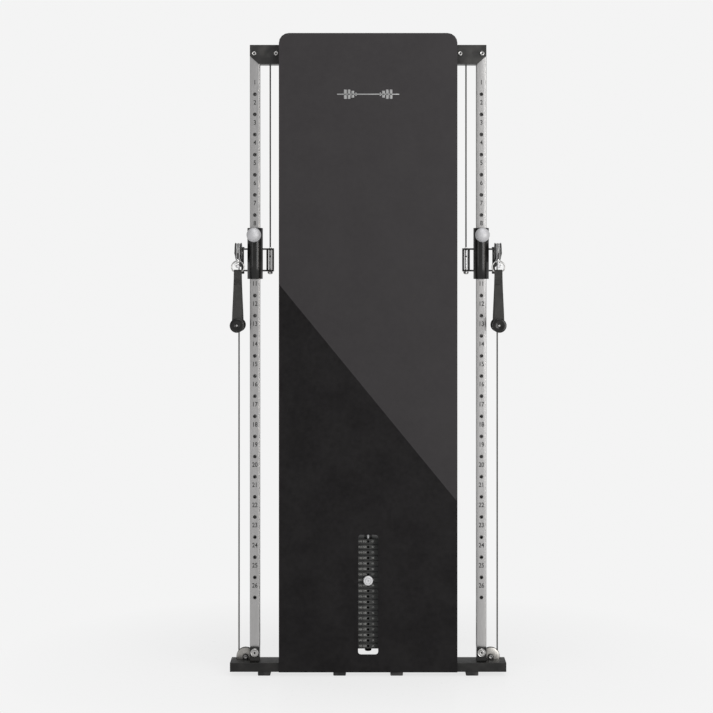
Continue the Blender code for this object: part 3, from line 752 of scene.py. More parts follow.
@dataclass(frozen=True)
class TwoTonePaint(Finish):
    """Panel paint in two tones, parted by one straight slanting line."""

    lower: Colour = (0.0024, 0.0019, 0.0021)
    left_height: float = 1.304
    slope: float = -1.2201
    left_x: float = -0.2967

    def base_colour(self, sheet: Sheet, place: bpy.types.NodeSocket, shade: bpy.types.NodeSocket) -> object:
        """The lighter tone above the line and the darker one below it.

        Args:
            sheet: the material's tree.
            place: its coordinates.
            shade: its pattern's shade.

        Returns:
            A colour socket.
        """
        upper = super().base_colour(sheet, place, shade)
        parts = sheet.add("SeparateXYZ", (0, place)).outputs
        reach = sheet.math("MULTIPLY", sheet.math("SUBTRACT", parts["X"], self.left_x), self.slope)
        line = sheet.math("ADD", reach, self.left_height)
        above = sheet.math("GREATER_THAN", parts["Z"], line)
        dim = sheet.mix(sheet.span(shade, 0.3, 0.7, 0.0, 0.25), (*self.lower, 1.0), (*self.dark, 1.0))
        return sheet.mix(above, dim, upper)


@lru_cache(maxsize=None)
def made_material(finish: Finish) -> bpy.types.Material:
    """Build a finish's material.

    Args:
        finish: the finish.

    Returns:
        The material.
    """
    material = bpy.data.materials.new(finish.name)
    material.use_nodes = True
    sheet = Sheet(material.node_tree)
    shader = material.node_tree.nodes["Principled BSDF"]
    place = sheet.add("TexCoord").outputs["UV" if finish.surface_map else "Object"]
    stretched = sheet.add("Mapping", ("Vector", place), ("Scale", finish.stretch)).outputs[0]
    pattern = sheet.add("Group", node_tree=finish.effect.group)
    sheet.feed(pattern, ("Vector", stretched), ("Scale", finish.scale))
    worn = sheet.add("Group", node_tree=wear_group())
    object_place = sheet.add("TexCoord").outputs["Object"]
    sheet.feed(worn, ("Vector", object_place), ("Scale", finish.wear_scale), ("Amount", finish.wear))
    shade, mask = pattern.outputs["Shade"], worn.outputs["Mask"]
    colour = finish.base_colour(sheet, place, shade)
    colour = sheet.mix(mask, colour, (*finish.wear_colour, 1.0))
    low, high = max(0.02, finish.roughness * 0.8), min(1.0, finish.roughness * 1.25)
    rough = sheet.math("ADD", sheet.span(shade, 0.25, 0.75, low, high), sheet.math("MULTIPLY", mask, 0.15))
    bump = sheet.add("Bump", ("Strength", finish.relief), ("Distance", 0.001))
    sheet.feed(bump, ("Height", pattern.outputs["Height"]))
    sheet.feed(shader, ("Base Color", colour), ("Roughness", rough), ("Normal", bump.outputs[0]))
    shader.inputs["Metallic"].default_value = finish.metallic
    shader.inputs["Specular IOR Level"].default_value = finish.specular
    shader.inputs["Coat Weight"].default_value = finish.coat
    shader.inputs["Coat Roughness"].default_value = 0.12
    return material


BLACK_PAINT = Finish(
    "black_powder_coat", "black_paint", (0.0185, 0.0180, 0.0178), (0.0105, 0.0103, 0.0101), 0.42, scale=900,
    wear=0.18, wear_colour=(0.11, 0.107, 0.10), specular=0.28,
)
BASE_PAINT = Finish(
    "base_powder_coat", "black_paint", (0.0110, 0.0106, 0.0102), (0.0058, 0.0056, 0.0054), 0.42, scale=900,
    wear=0.15, wear_colour=(0.060, 0.058, 0.055), specular=0.22,
)
GLOSS_BLACK = Finish(
    "gloss_black_enamel", "black_paint", (0.0065, 0.0062, 0.0058), (0.0035, 0.0034, 0.0033), 0.22,
    scale=120, relief=0.02, wear=0.15, wear_colour=(0.040, 0.038, 0.035), specular=0.25, coat=0.12,
)
BLACK_PLASTIC = Finish(
    "moulded_black_plastic", "rubber", (0.018, 0.018, 0.018), (0.010, 0.010, 0.010), 0.38, scale=1500,
    relief=0.10,
)
PANEL_PAINT = TwoTonePaint(
    "two_tone_panel_paint", "panel_paint", (0.0306, 0.0283, 0.0295), (0.0266, 0.0246, 0.0257), 0.42,
    scale=1200, relief=0.03, wear=0.05, wear_colour=(0.06, 0.058, 0.058), wear_scale=9.0, specular=0.12,
)
UPRIGHT_STEEL = Finish(
    "brushed_upright_steel", "brushed_steel", (0.435, 0.43, 0.43), (0.345, 0.34, 0.335), 0.36, 1.0,
    Effect.BRUSHED, scale=40, stretch=(14.0, 14.0, 0.7), relief=0.05, wear=0.10,
    wear_colour=(0.26, 0.25, 0.24), wear_scale=14.0,
)
DISC_STEEL = Finish(
    "machined_disc", "pulley_metal", (0.50, 0.485, 0.46), (0.33, 0.32, 0.30), 0.36, 1.0, Effect.BRUSHED,
    scale=160, stretch=(5.0, 1.0, 1.0), relief=0.06, wear=0.20, wear_colour=(0.25, 0.24, 0.22),
    wear_scale=60.0,
)
DARK_RIM = Finish(
    "dark_pulley_rim", "pulley_metal", (0.050, 0.048, 0.046), (0.026, 0.025, 0.025), 0.40, 0.6, scale=500,
    wear=0.3, wear_colour=(0.20, 0.20, 0.19), wear_scale=90.0,
)
CHROME = Finish(
    "polished_chrome", "chrome", (0.66, 0.66, 0.66), (0.50, 0.50, 0.50), 0.12, 1.0, scale=260, relief=0.01,
    wear=0.12, wear_colour=(0.42, 0.41, 0.40), wear_scale=70.0,
)
SATIN_SILVER = Finish(
    "satin_silver", "satin_silver", (0.60, 0.60, 0.61), (0.55, 0.55, 0.56), 0.50, 0.70, scale=700,
    relief=0.01, wear=0.04, wear_colour=(0.45, 0.45, 0.45), wear_scale=50.0, specular=0.3,
)
BOLT_STEEL = Finish(
    "zinc_bolt_steel", "chrome", (0.46, 0.455, 0.445), (0.38, 0.375, 0.37), 0.28, 1.0, Effect.BRUSHED,
    scale=500, relief=0.02, wear=0.06, wear_colour=(0.20, 0.20, 0.19), wear_scale=160.0,
)
BALL_SILVER = Finish(
    "satin_ball", "satin_silver", (0.50, 0.50, 0.515), (0.46, 0.46, 0.47), 0.60, 0.60, scale=700,
    relief=0.01, wear=0.03, wear_colour=(0.38, 0.38, 0.38), wear_scale=50.0, specular=0.2,
)
CAST_IRON = Finish(
    "painted_cast_iron", "cast_iron", (0.036, 0.037, 0.036), (0.018, 0.018, 0.018), 0.55, 0.2, scale=650,
    relief=0.35, wear=0.25, wear_colour=(0.08, 0.08, 0.076), wear_scale=45.0,
)
RUBBER = Finish(
    "black_rubber", "rubber", (0.016, 0.016, 0.016), (0.009, 0.009, 0.009), 0.75, scale=1400, relief=0.25,
)
FOAM = Finish(
    "grip_foam", "grip_foam", (0.024, 0.024, 0.025), (0.010, 0.010, 0.010), 0.85, effect=Effect.FOAM,
    scale=900, relief=0.5, wear=0.3, wear_colour=(0.045, 0.045, 0.045), wear_scale=60.0,
)
WEBBING = Finish(
    "woven_webbing", "webbing", (0.066, 0.065, 0.063), (0.027, 0.027, 0.026), 0.85, effect=Effect.WEAVE,
    scale=4.2, stretch=(1.4, 4.6, 1.0), relief=0.9, wear=0.25, wear_colour=(0.075, 0.073, 0.070),
    wear_scale=40.0, specular=0.2, surface_map=True,
)
THREAD = Finish(
    "sewing_thread", "webbing", (0.012, 0.012, 0.012), (0.007, 0.007, 0.007), 0.7, effect=Effect.TWIST,
    scale=900, relief=0.4,
)
CABLE_COAT = Finish(
    "coated_wire_cable", "cable_coat", (0.085, 0.083, 0.080), (0.045, 0.044, 0.043), 0.35,
    effect=Effect.TWIST, scale=260, relief=0.5, wear=0.2, wear_colour=(0.13, 0.13, 0.125), wear_scale=35.0,
)
WORN_CABLE = Finish(
    "worn_wire_cable", "cable_coat", (0.46, 0.46, 0.45), (0.24, 0.24, 0.235), 0.35, 0.6, Effect.TWIST,
    scale=260, relief=0.4, wear=0.2, wear_colour=(0.13, 0.13, 0.125), wear_scale=35.0,
)
ENGRAVING = Finish(
    "engraved_figures", "brushed_steel", (0.020, 0.020, 0.020), (0.006, 0.006, 0.006), 0.6, scale=1500,
    wear=0.1,
)
WHITE_INK = Finish(
    "printed_white_ink", "cast_iron", (0.50, 0.50, 0.48), (0.26, 0.26, 0.25), 0.6, scale=900, wear=0.45,
    wear_colour=(0.10, 0.10, 0.10), wear_scale=220.0,
)
MARK_SILVER = Finish(
    "silver_mark", "panel_paint", (0.30, 0.30, 0.30), (0.24, 0.24, 0.24), 0.40, 0.4, scale=700, wear=0.05,
)


# ---------------------------------------------------------------- fasteners


@dataclass
class CapBolt:
    """A bolt head seen from the front: a dished cap with a socket in its middle."""

    radius: float
    height: float
    socket: float = 0.42

    def build(self, name: str, x: float, y: float, z: float, body: str, finish: Finish) -> None:
        """Turn the head and fix it.

        Args:
            name: the piece's name.
            x: its middle.
            y: the face that it sits on.
            z: its middle.
            body: the body that carries it.
            finish: its finish.
        """
        radius, height = self.radius, self.height
        hole, floor = radius * self.socket, height * 0.45
        profile = [
            (radius * 0.98, 0.0),
            (radius, -height * 0.25),
            (radius, -height * 0.70),
            (radius * 0.90, -height * 0.95),
            (radius * 0.80, -height),
            (radius * 0.62, -height * 0.88),
            (hole * 1.10, -height * 0.88),
            (hole, -height * 0.80),
            (hole, -floor),
            (hole * 0.15, -floor * 0.85),
        ]
        Blank.turned(name, (x, y, z), Axis.Y, profile, sides=40).done(finish, body)


@dataclass
class EndPlug:
    """A moulded plug in the end of a square bar."""

    half_depth: float
    half_height: float
    thickness: float = 0.0018

    def build(self, name: str, x: float, y: float, z: float, outwards: int) -> None:
        """Shape the plug and fix it to the frame.

        Args:
            name: the piece's name.
            x: the bar's end.
            y: the bar's middle.
            z: the bar's middle.
            outwards: 1 where the bar ends at its highest X, else -1.
        """
        inner, outer = x - outwards * 0.006, x - outwards * 0.0002
        low, high = sorted((inner, outer))
        reach = (self.half_depth - self.thickness, self.half_height - self.thickness)
        plug = Blank.block(name, (low, y - reach[0], z - reach[1]), (high, y + reach[0], z + reach[1]))
        plug.inset(lambda face: face.normal.x * outwards > 0.9, 0.004, -0.0012)
        plug.bevel(0.0007, 2).done(BLACK_PLASTIC, "frame")


# ---------------------------------------------------------------- base


@dataclass
class Base:
    """Base bar, its sunken pulley seats, the rails and bars behind it, the feet and the foot brackets."""

    corner: float = 0.0028
    seat_gap: float = 0.0015
    ear_thickness: float = 0.004
    ear_half: float = 0.009
    ear_offset: float = 0.008
    bracket_cap: float = 0.0145
    cap_rise: float = 0.0298

    def build(self) -> None:
        """Build and dress the whole base."""
        self.build_bar()
        for side in Side:
            self.build_ears(side, "base_side_pulley", BOLT_STEEL)
            self.build_ears(side, "base_centre_pulley", BOLT_STEEL)
            self.build_bracket(side)
            self.build_rear_plug(side)
        for node in ("base_rail_left", "base_rail_right", "rear_bar"):
            dress(node, BASE_PAINT)
        for place in ("outer", "inner"):
            for side in Side:
                self.build_foot(f"foot_{place}_{side.label}")

    def build_bar(self) -> None:
        """The base bar as a rounded square tube, with a slot over each pulley."""
        low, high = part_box("base_bar")
        low.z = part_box("base_rail_left")[0].z
        high.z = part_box("base_rail_left")[1].z
        bar = Blank.block("base_bar_shell", low, high)
        bar.inset(lambda face: abs(face.normal.x) > 0.9, self.corner, 0.0)
        bar.bevel(self.corner, 4, lambda edge: abs((edge.verts[0].co - edge.verts[1].co).x) > 0.5)
        tools = []
        for wheel in ("base_side_pulley", "base_centre_pulley"):
            for side in Side:
                first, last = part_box(f"{wheel}_{side.label}")
                gap = self.seat_gap
                start = (first.x - gap, first.y - gap, low.z + 0.004)
                end = (last.x + gap, last.y + gap, high.z + 0.01)
                tools.append(Blank.block("slot", start, end))
        bar.cut(*tools).done(BASE_PAINT, "frame", ["base_bar"])
        for side in Side:
            x = side.x(abs(high.x))
            plug = EndPlug((high.y - low.y) / 2, (high.z - low.z) / 2 - 0.001)
            plug.build(
                f"base_plug_{side.label}", x + side.value * 0.0002, PLANE_Y, (low.z + high.z) / 2,
                side.value
            )

    def build_ears(self, side: Side, wheel: str, finish: Finish) -> None:
        """The two ears that hold one base pulley, and its axle bolt.

        Args:
            side: which side.
            wheel: the pulley's name without its side.
            finish: the bolt's finish.
        """
        low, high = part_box(f"{wheel}_{side.label}")
        centre = (low + high) / 2
        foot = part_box("base_rail_left")[1].z - 0.001 - centre.z
        steps = [math.pi * (1 - step / 12) for step in range(13)]
        points = [(self.ear_half * math.cos(turn), self.ear_half * math.sin(turn)) for turn in steps]
        points = [(-self.ear_half * 1.2, foot)] + points + [(self.ear_half * 1.2, foot)]
        for place, direction in (("front", -1), ("back", 1)):
            y = CABLE_Y + direction * (self.ear_offset + self.ear_thickness / 2)
            name = f"{wheel}_ear_{place}_{side.label}"
            ear = Blank.outline(
                name, points, self.ear_thickness, (centre.x, y, centre.z), (math.pi / 2, 0, 0)
            )
            ear.bevel(0.0006, 2).done(BLACK_PAINT, "frame")
        front = CABLE_Y - self.ear_offset - self.ear_thickness
        CapBolt(0.0066, 0.0035).build(
            f"{wheel}_bolt_{side.label}", centre.x, front, centre.z, "frame", finish
        )
        start = (centre.x, front - 0.0005, centre.z)
        end = (centre.x, CABLE_Y + self.ear_offset + self.ear_thickness + 0.004, centre.z)
        axle = Blank.bar(f"{wheel}_axle_{side.label}", start, end, 0.0041, 24)
        axle.inset(lambda face: face.normal.y > 0.9, 0.001, -0.0012).done(finish, "frame")

    def build_bracket(self, side: Side) -> None:
        """The block under one upright, with its ringed cap.

        Args:
            side: which side.
        """
        node = f"foot_bracket_{side.label}"
        low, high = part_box(node)
        low.y = machine_y(-0.029)
        block = Blank.block(f"foot_block_{side.label}", low, high)
        block.inset(lambda face: face.normal.y < -0.9, 0.0014, 0.0)
        block.bevel(0.0012, 3).done(GLOSS_BLACK, "frame", [node])
        x, z = (low.x + high.x) / 2, low.z + self.cap_rise
        radius = self.bracket_cap
        profile = [
            (radius * 0.97, 0.0),
            (radius, -0.0012),
            (radius * 0.97, -0.0030),
            (radius * 0.88, -0.0040),
            (radius * 0.80, -0.0036),
            (radius * 0.77, -0.0004),
            (radius * 0.63, -0.0004),
            (radius * 0.60, -0.0034),
            (radius * 0.46, -0.0040),
            (radius * 0.30, -0.0032),
            (radius * 0.22, -0.0030),
            (radius * 0.20, 0.0004),
            (radius * 0.02, 0.0006),
        ]
        cap = Blank.turned(f"foot_cap_{side.label}", (x, low.y, z), Axis.Y, profile, sides=56)
        cap.done(BOLT_STEEL, "frame", smooth=50)

    def build_foot(self, node: str) -> None:
        """One rubber foot, rounded at its lower edge and grooved round its side.

        Args:
            node: the CAD foot that it stands for.
        """
        low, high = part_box(node)
        foot = Blank.block(f"{node}_pad", low, high)
        foot.bevel(0.0045, 4, lambda edge: max(vert.co.z for vert in edge.verts) < low.z + 0.001)
        foot.bevel(0.0030, 3, lambda edge: abs(edge.verts[0].co.z - edge.verts[1].co.z) > 0.004)
        foot.done(RUBBER, "frame", [node])

    def build_rear_plug(self, side: Side) -> None:
        """The plug in one end of the rear bar.

        Args:
            side: which side.
        """
        low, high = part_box("rear_bar")
        low.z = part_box("base_rail_left")[0].z
        plug = EndPlug((high.y - low.y) / 2 - 0.0015, (high.z - low.z) / 2 - 0.0015)
        x = side.x(abs(high.x))
        plug.build(f"rear_plug_{side.label}", x, (low.y + high.y) / 2, (low.z + high.z) / 2, side.value)


# ---------------------------------------------------------------- uprights and crossbar


@dataclass
class Upright:
    """One numbered upright."""

    side: Side
    holes: int = 26
    pitch: float = 0.06725
    pin_hole: int = 8
    pin_height: float = 1.4667
    figure_rise: float = 0.0395
    figure_size: float = 0.0214
    figure_weight: float = 0.00035
    corner: float = 0.0045
    wall: float = 0.0025
    hole: float = 0.0048

    def build(self) -> None:
        """Build the tube, and engrave a number over each of its holes."""
        x, y = self.side.x(UPRIGHT_X), UPRIGHT_FRONT - 0.00008
        top = self.pin_height + (self.pin_hole - 1) * self.pitch
        self.build_tube(x, top)
        figures, rims = [], []
        rim = [(0.0064, 0.0), (0.0062, -0.00025), (0.0052, -0.0003)]
        rim += [(0.0049, 0.0001), (0.0049, 0.0006), (0.0060, 0.0006)]
        first = Blank.turned("hole_rim", (x, UPRIGHT_FRONT, top), Axis.Y, rim, bored=True, sides=28)
        for index in range(self.holes):
            z = top - index * self.pitch
            centre = (x, y, z + self.figure_rise)
            figure = Blank.figures(
                "figure", str(index + 1), self.figure_size, centre, 0.86, self.figure_weight
            )
            figures.append(figure)
            if index:
                rims.append(first.copy("hole_rim", (0, 0, -index * self.pitch)))
        numbers = figures[0].with_parts(*figures[1:])
        numbers.obj.name = f"hole_numbers_{self.side.label}"
        numbers.done(ENGRAVING, "frame")
        first.with_parts(*rims)
        first.obj.name = f"hole_rims_{self.side.label}"
        first.done(DARK_RIM, "frame")

    def build_tube(self, x: float, top: float) -> None:
        """The square tube with rounded corners, hollow, and bored through its front wall.

        Args:
            x: the middle of the tube.
            top: the height of the highest hole.
        """
        node = f"upright_{self.side.label}"
        low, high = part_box(node)
        tube = Blank.block(f"upright_tube_{self.side.label}", low, high)
        tube.bevel(self.corner, 5, lambda edge: abs(edge.verts[0].co.z - edge.verts[1].co.z) > 0.5)
        inside = Vector((self.wall, self.wall, -0.01))
        tube.cut(Blank.block("hollow", low + inside, high - inside))
        start, end = (x, low.y - 0.005, top), (x, low.y + 0.010, top)
        first = Blank.bar("bores", start, end, self.hole, 24)
        others = [first.copy("bore", (0, 0, -index * self.pitch)) for index in range(1, self.holes)]
        tube.cut(first.with_parts(*others)).done(UPRIGHT_STEEL, "frame", [node], smooth=15)


@dataclass
class Crossbar:
    """The crossbar's paint and its visible bolts."""

    bolt_height: float = 2.0735
    bolt_places: tuple[float, ...] = (0.3806, 0.3075)
    front: float = -0.022

    def build(self) -> None:
        """Dress the bar and put a bolt head over each end of its fixings."""
        dress("crossbar", BLACK_PAINT)
        head = CapBolt(0.0072, 0.0048, 0.36)
        for side in Side:
            for number, distance in enumerate(self.bolt_places, 1):
                name = f"crossbar_bolt_{number}_{side.label}"
                head.build(
                    name, side.x(distance), machine_y(self.front), self.bolt_height, "frame", BOLT_STEEL
                )


# ---------------------------------------------------------------- front panel


@dataclass
class FrontPanel:
    """The two-tone panel, the raised mark on it and the posts behind it."""

    mark_height: float = 1.9345
    mark_half_width: float = 0.1035
    mark_relief: float = 0.0008
    plates: tuple[Flat, ...] = ((0.0760, 0.0155), (0.0635, 0.0155), (0.0510, 0.0115))
    plate_width: float = 0.0090

    def build(self) -> None:
        """Dress the panel and posts, and build the mark and the screws behind."""
        dress("front_panel", PANEL_PAINT)
        for side in Side:
            dress(f"post_{side.label}", BLACK_PAINT)
            self.build_screws(side)
        self.build_mark()

    def build_mark(self) -> None:
        """A long barbell as a raised silver mark: a bar, collars and three plates at each end."""
        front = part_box("front_panel")[0].y
        half, z = self.mark_half_width, self.mark_height
        back = front - 0.00005
        rows = [(0.0, half, 0.0020)]
        for side in Side:
            rows += [(side.x(place), self.plate_width / 2, height) for place, height in self.plates]
            rows.append((side.x(0.0405), 0.0022, 0.0055))
        parts = []
        for x, width, height in rows:
            low, high = (x - width, back - self.mark_relief, z - height), (x + width, back, z + height)
            parts.append(Blank.block("mark", low, high).bevel(0.0006, 2, lambda edge: True))
        mark = parts[0].with_parts(*parts[1:])
        mark.obj.name = "panel_mark"
        mark.done(MARK_SILVER, "frame")

    def build_screws(self, side: Side) -> None:
        """The button screws that hold one post to the panel, seen from behind.

        Args:
            side: which side.
        """
        low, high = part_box(f"post_{side.label}")
        profile = [(0.0060, 0.0), (0.0060, 0.0012), (0.0048, 0.0030)]
        profile += [(0.0026, 0.0036), (0.0024, 0.0018), (0.0004, 0.0016)]
        x = (low.x + high.x) / 2
        span = high.z - low.z
        first = Blank.turned("screw", (x, high.y, low.z + span * 0.08), Axis.Y, profile, sides=28)
        others = [first.copy("screw", (0, 0, span * 0.21 * step)) for step in range(1, 5)]
        first.with_parts(*others)
        first.obj.name = f"post_screws_{side.label}"
        first.done(BOLT_STEEL, "frame")


# ---------------------------------------------------------------- weight stack


@dataclass
class WeightStack:
    """Twenty separate plates with their printed numbers, the head, the selector pin and the guides."""

    count: int = 20
    lifted: int = 8
    pitch: float = 0.01835
    half_width: float = 0.105
    half_depth: float = 0.050
    guide_x: float = 0.085
    guide_hole: float = 0.0106
    centre_hole: float = 0.0123
    pin_hole: float = 0.0040
    edge: float = 0.0016
    gap: float = 0.0007
    step: int = 5
    knob: float = 0.0162
    lock_reach: float = 0.0430

    def build(self) -> None:
        """Build the plates, their numbers and the pin, and dress the guides."""
        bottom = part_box("plates_resting")[0].z
        first = self.build_plate(bottom)
        figures: dict[str, list[Blank]] = {"frame": [], "stack": []}
        for index in range(self.count):
            body = "stack" if index >= self.count - self.lifted else "frame"
            plate = first if index == 0 else first.copy(
                f"weight_plate_{index + 1}", (0, 0, index * self.pitch)
            )
            node = {0: ["plates_resting"], self.count - 1: ["plates_lifted"]}.get(index, [])
            plate.done(CAST_IRON, body, node)
            figures[body] += self.build_numbers(index, bottom + (index + 0.5) * self.pitch)
        for body, parts in figures.items():
            printed = parts[0].with_parts(*parts[1:])
            printed.obj.name = f"plate_numbers_{body}"
            printed.done(WHITE_INK, body)
        self.build_pin()
        self.build_collar()
        dress("stack_head", BLACK_PAINT)
        for side in Side:
            dress(f"guide_rod_{side.label}", CHROME)
            dress(f"bumper_{side.label}", RUBBER)

    def build_plate(self, bottom: float) -> Blank:
        """The lowest plate: a cast block with rounded edges, two guide holes, a centre hole and a pin hole.

        Args:
            bottom: its lower face.

        Returns:
            The plate.
        """
        low = (-self.half_width, CABLE_Y - self.half_depth, bottom + self.gap / 2)
        high = (self.half_width, CABLE_Y + self.half_depth, bottom + self.pitch - self.gap / 2)
        plate = Blank.block("weight_plate_1", low, high)
        plate.bevel(0.010, 4, lambda edge: abs(edge.verts[0].co.z - edge.verts[1].co.z) > 0.01)
        plate.bevel(self.edge, 3)
        holes = ((-self.guide_x, self.guide_hole), (0.0, self.centre_hole), (self.guide_x, self.guide_hole))
        tools = []
        for x, radius in holes:
            tools.append(
                Blank.bar("bore", (x, CABLE_Y, bottom - 0.01), (x, CABLE_Y, bottom + 0.03), radius, 28)
            )
        z = bottom + self.pitch / 2
        tools.append(Blank.bar("pin_way", (0, low[1] - 0.01, z), (0, CABLE_Y, z), self.pin_hole, 24))
        return plate.cut(*tools)

    def build_numbers(self, index: int, z: float) -> list[Blank]:
        """The two printed numbers of one plate.

        Args:
            index: the plate's place from below.
            z: its middle.

        Returns:
            The numbers as loose parts.
        """
        weight = (self.count - index) * self.step
        y = CABLE_Y - self.half_depth - 0.00005
        heavy = Blank.figures("figure", f"{weight:03d} {weight * 2:03d}", 0.0085, (-0.0185, y, z), 0.95)
        light = Blank.figures("figure", f"{self.count - index:02d}", 0.0085, (0.0160, y, z), 0.95)
        return [heavy, light]

    def build_pin(self) -> None:
        """The selector pin with its turned knob."""
        low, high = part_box("selector_pin")
        x, z = (low.x + high.x) / 2, (low.z + high.z) / 2
        r = self.knob
        profile = [
            (0.0047, high.y - low.y),
            (0.0047, 0.0142),
            (0.0075, 0.0140),
            (r * 0.80, 0.0125),
            (r, 0.0105),
            (r * 1.0, 0.0030),
            (r * 0.96, 0.0010),
            (r * 0.88, 0.0),
            (r * 0.70, 0.0003),
            (r * 0.66, 0.0026),
            (r * 0.54, 0.0026),
            (r * 0.50, 0.0006),
            (r * 0.22, 0.0006),
            (r * 0.20, 0.0045),
            (r * 0.02, 0.0050),
        ]
        knob = Blank.turned("selector_knob", (x, low.y, z), Axis.Y, profile, sides=56)
        knob.done(SATIN_SILVER, "selector", ["selector_pin"], smooth=50)

    def build_collar(self) -> None:
        """The collar and the bright lock rod on the top plate, and the rounded end under the lowest one."""
        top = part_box("plates_lifted")[1].z
        profile = [(0.0122, 0.0), (0.0135, 0.0006), (0.0135, 0.0150)]
        profile += [(0.0122, 0.0162), (0.0118, 0.0162), (0.0118, 0.0)]
        collar = Blank.turned(
            "stack_collar", (0, CABLE_Y, top + 0.0008), Axis.Z, profile, bored=True, sides=40
        )
        collar.done(BLACK_PLASTIC, "stack")
        lock_y = CABLE_Y - self.lock_reach
        corners = ((-0.0125, lock_y + 0.0045, top + 0.0008), (0.0125, lock_y + 0.0075, top + 0.0140))
        Blank.block("stack_lock_seat", *corners).bevel(0.0008, 2).done(BLACK_PLASTIC, "stack")
        lock = Blank.bar("stack_lock_rod", (0, lock_y, top + 0.0008), (0, lock_y, top + 0.0160), 0.0040, 28)
        lock.bevel(0.0008, 2).done(SATIN_SILVER, "stack")
        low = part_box("stack_head")[0].z
        profile = [(0.0114, 0.0), (0.0114, -0.0045), (0.0098, -0.0072), (0.0055, -0.0086), (0.0006, -0.0089)]
        end = Blank.turned("selector_rod_end", (0, CABLE_Y, low), Axis.Z, profile, sides=40)
        end.done(BLACK_PLASTIC, "stack")


# ---------------------------------------------------------------- pulleys and cables


@dataclass
class Pulley:
    """One grooved wheel in the place of its CAD wheel."""

    wheel: str
    side: Side
    axis: Axis = Axis.Y
    rim: Finish = DARK_RIM
    covered: bool = False
    half: float = 0.0058
    hub: float = 0.0082
    bore: float = 0.0043

    def build(self) -> None:
        """Turn the wheel, and the bright disc on its face where it has one."""
        node = f"{self.wheel}_{self.side.label}"
        low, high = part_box(node)
        centre = (low + high) / 2
        outer = (high.z - low.z) / 2
        floor = outer - (0.0125 if outer > 0.030 and not self.wheel.startswith("swivel") else 0.0065)
        floor = max(floor, self.hub + 0.005)
        half, lip = self.half, 0.0044
        web = half - 0.0022
        side_faces = [
            (outer - 0.0006, half),
            (outer, half - 0.0007),
            (outer, lip),
            (outer - 0.0012, lip - 0.0004),
            (floor + 0.0012, 0.0024),
            (floor, 0.0009),
        ]
        profile = side_faces + [(radius, -height) for radius, height in reversed(side_faces)]
        inner = floor - 0.0022
        faces = [
            (inner, half),
            (inner - 0.0010, web),
            (self.hub + 0.0010, web),
            (self.hub, half),
            (self.bore, half),
        ]
        profile = [(radius, -height) for radius, height in reversed(profile)]
        profile += [(radius, -height) for radius, height in faces] + list(reversed(faces))
        place = (centre.x, centre.y, centre.z)
        name = f"{self.wheel}_wheel_{self.side.label}"
        wheel = Blank.turned(name, place, self.axis, profile, bored=True, sides=56)
        wheel.done(self.rim, node, [node])
        if self.covered:
            disc = [
                (outer - 0.0016, 0.0),
                (outer - 0.0010, -0.0006),
                (outer - 0.0018, -0.0010),
                (0.0105, -0.0010),
                (0.0098, -0.0004),
                (self.bore + 0.0004, -0.0004),
                (self.bore + 0.0004, 0.0),
            ]
            place = (centre.x, centre.y - half, centre.z)
            cover = Blank.turned(
                f"{self.wheel}_disc_{self.side.label}", place, self.axis, disc, bored=True, sides=64
            )
            cover.done(DISC_STEEL, node)


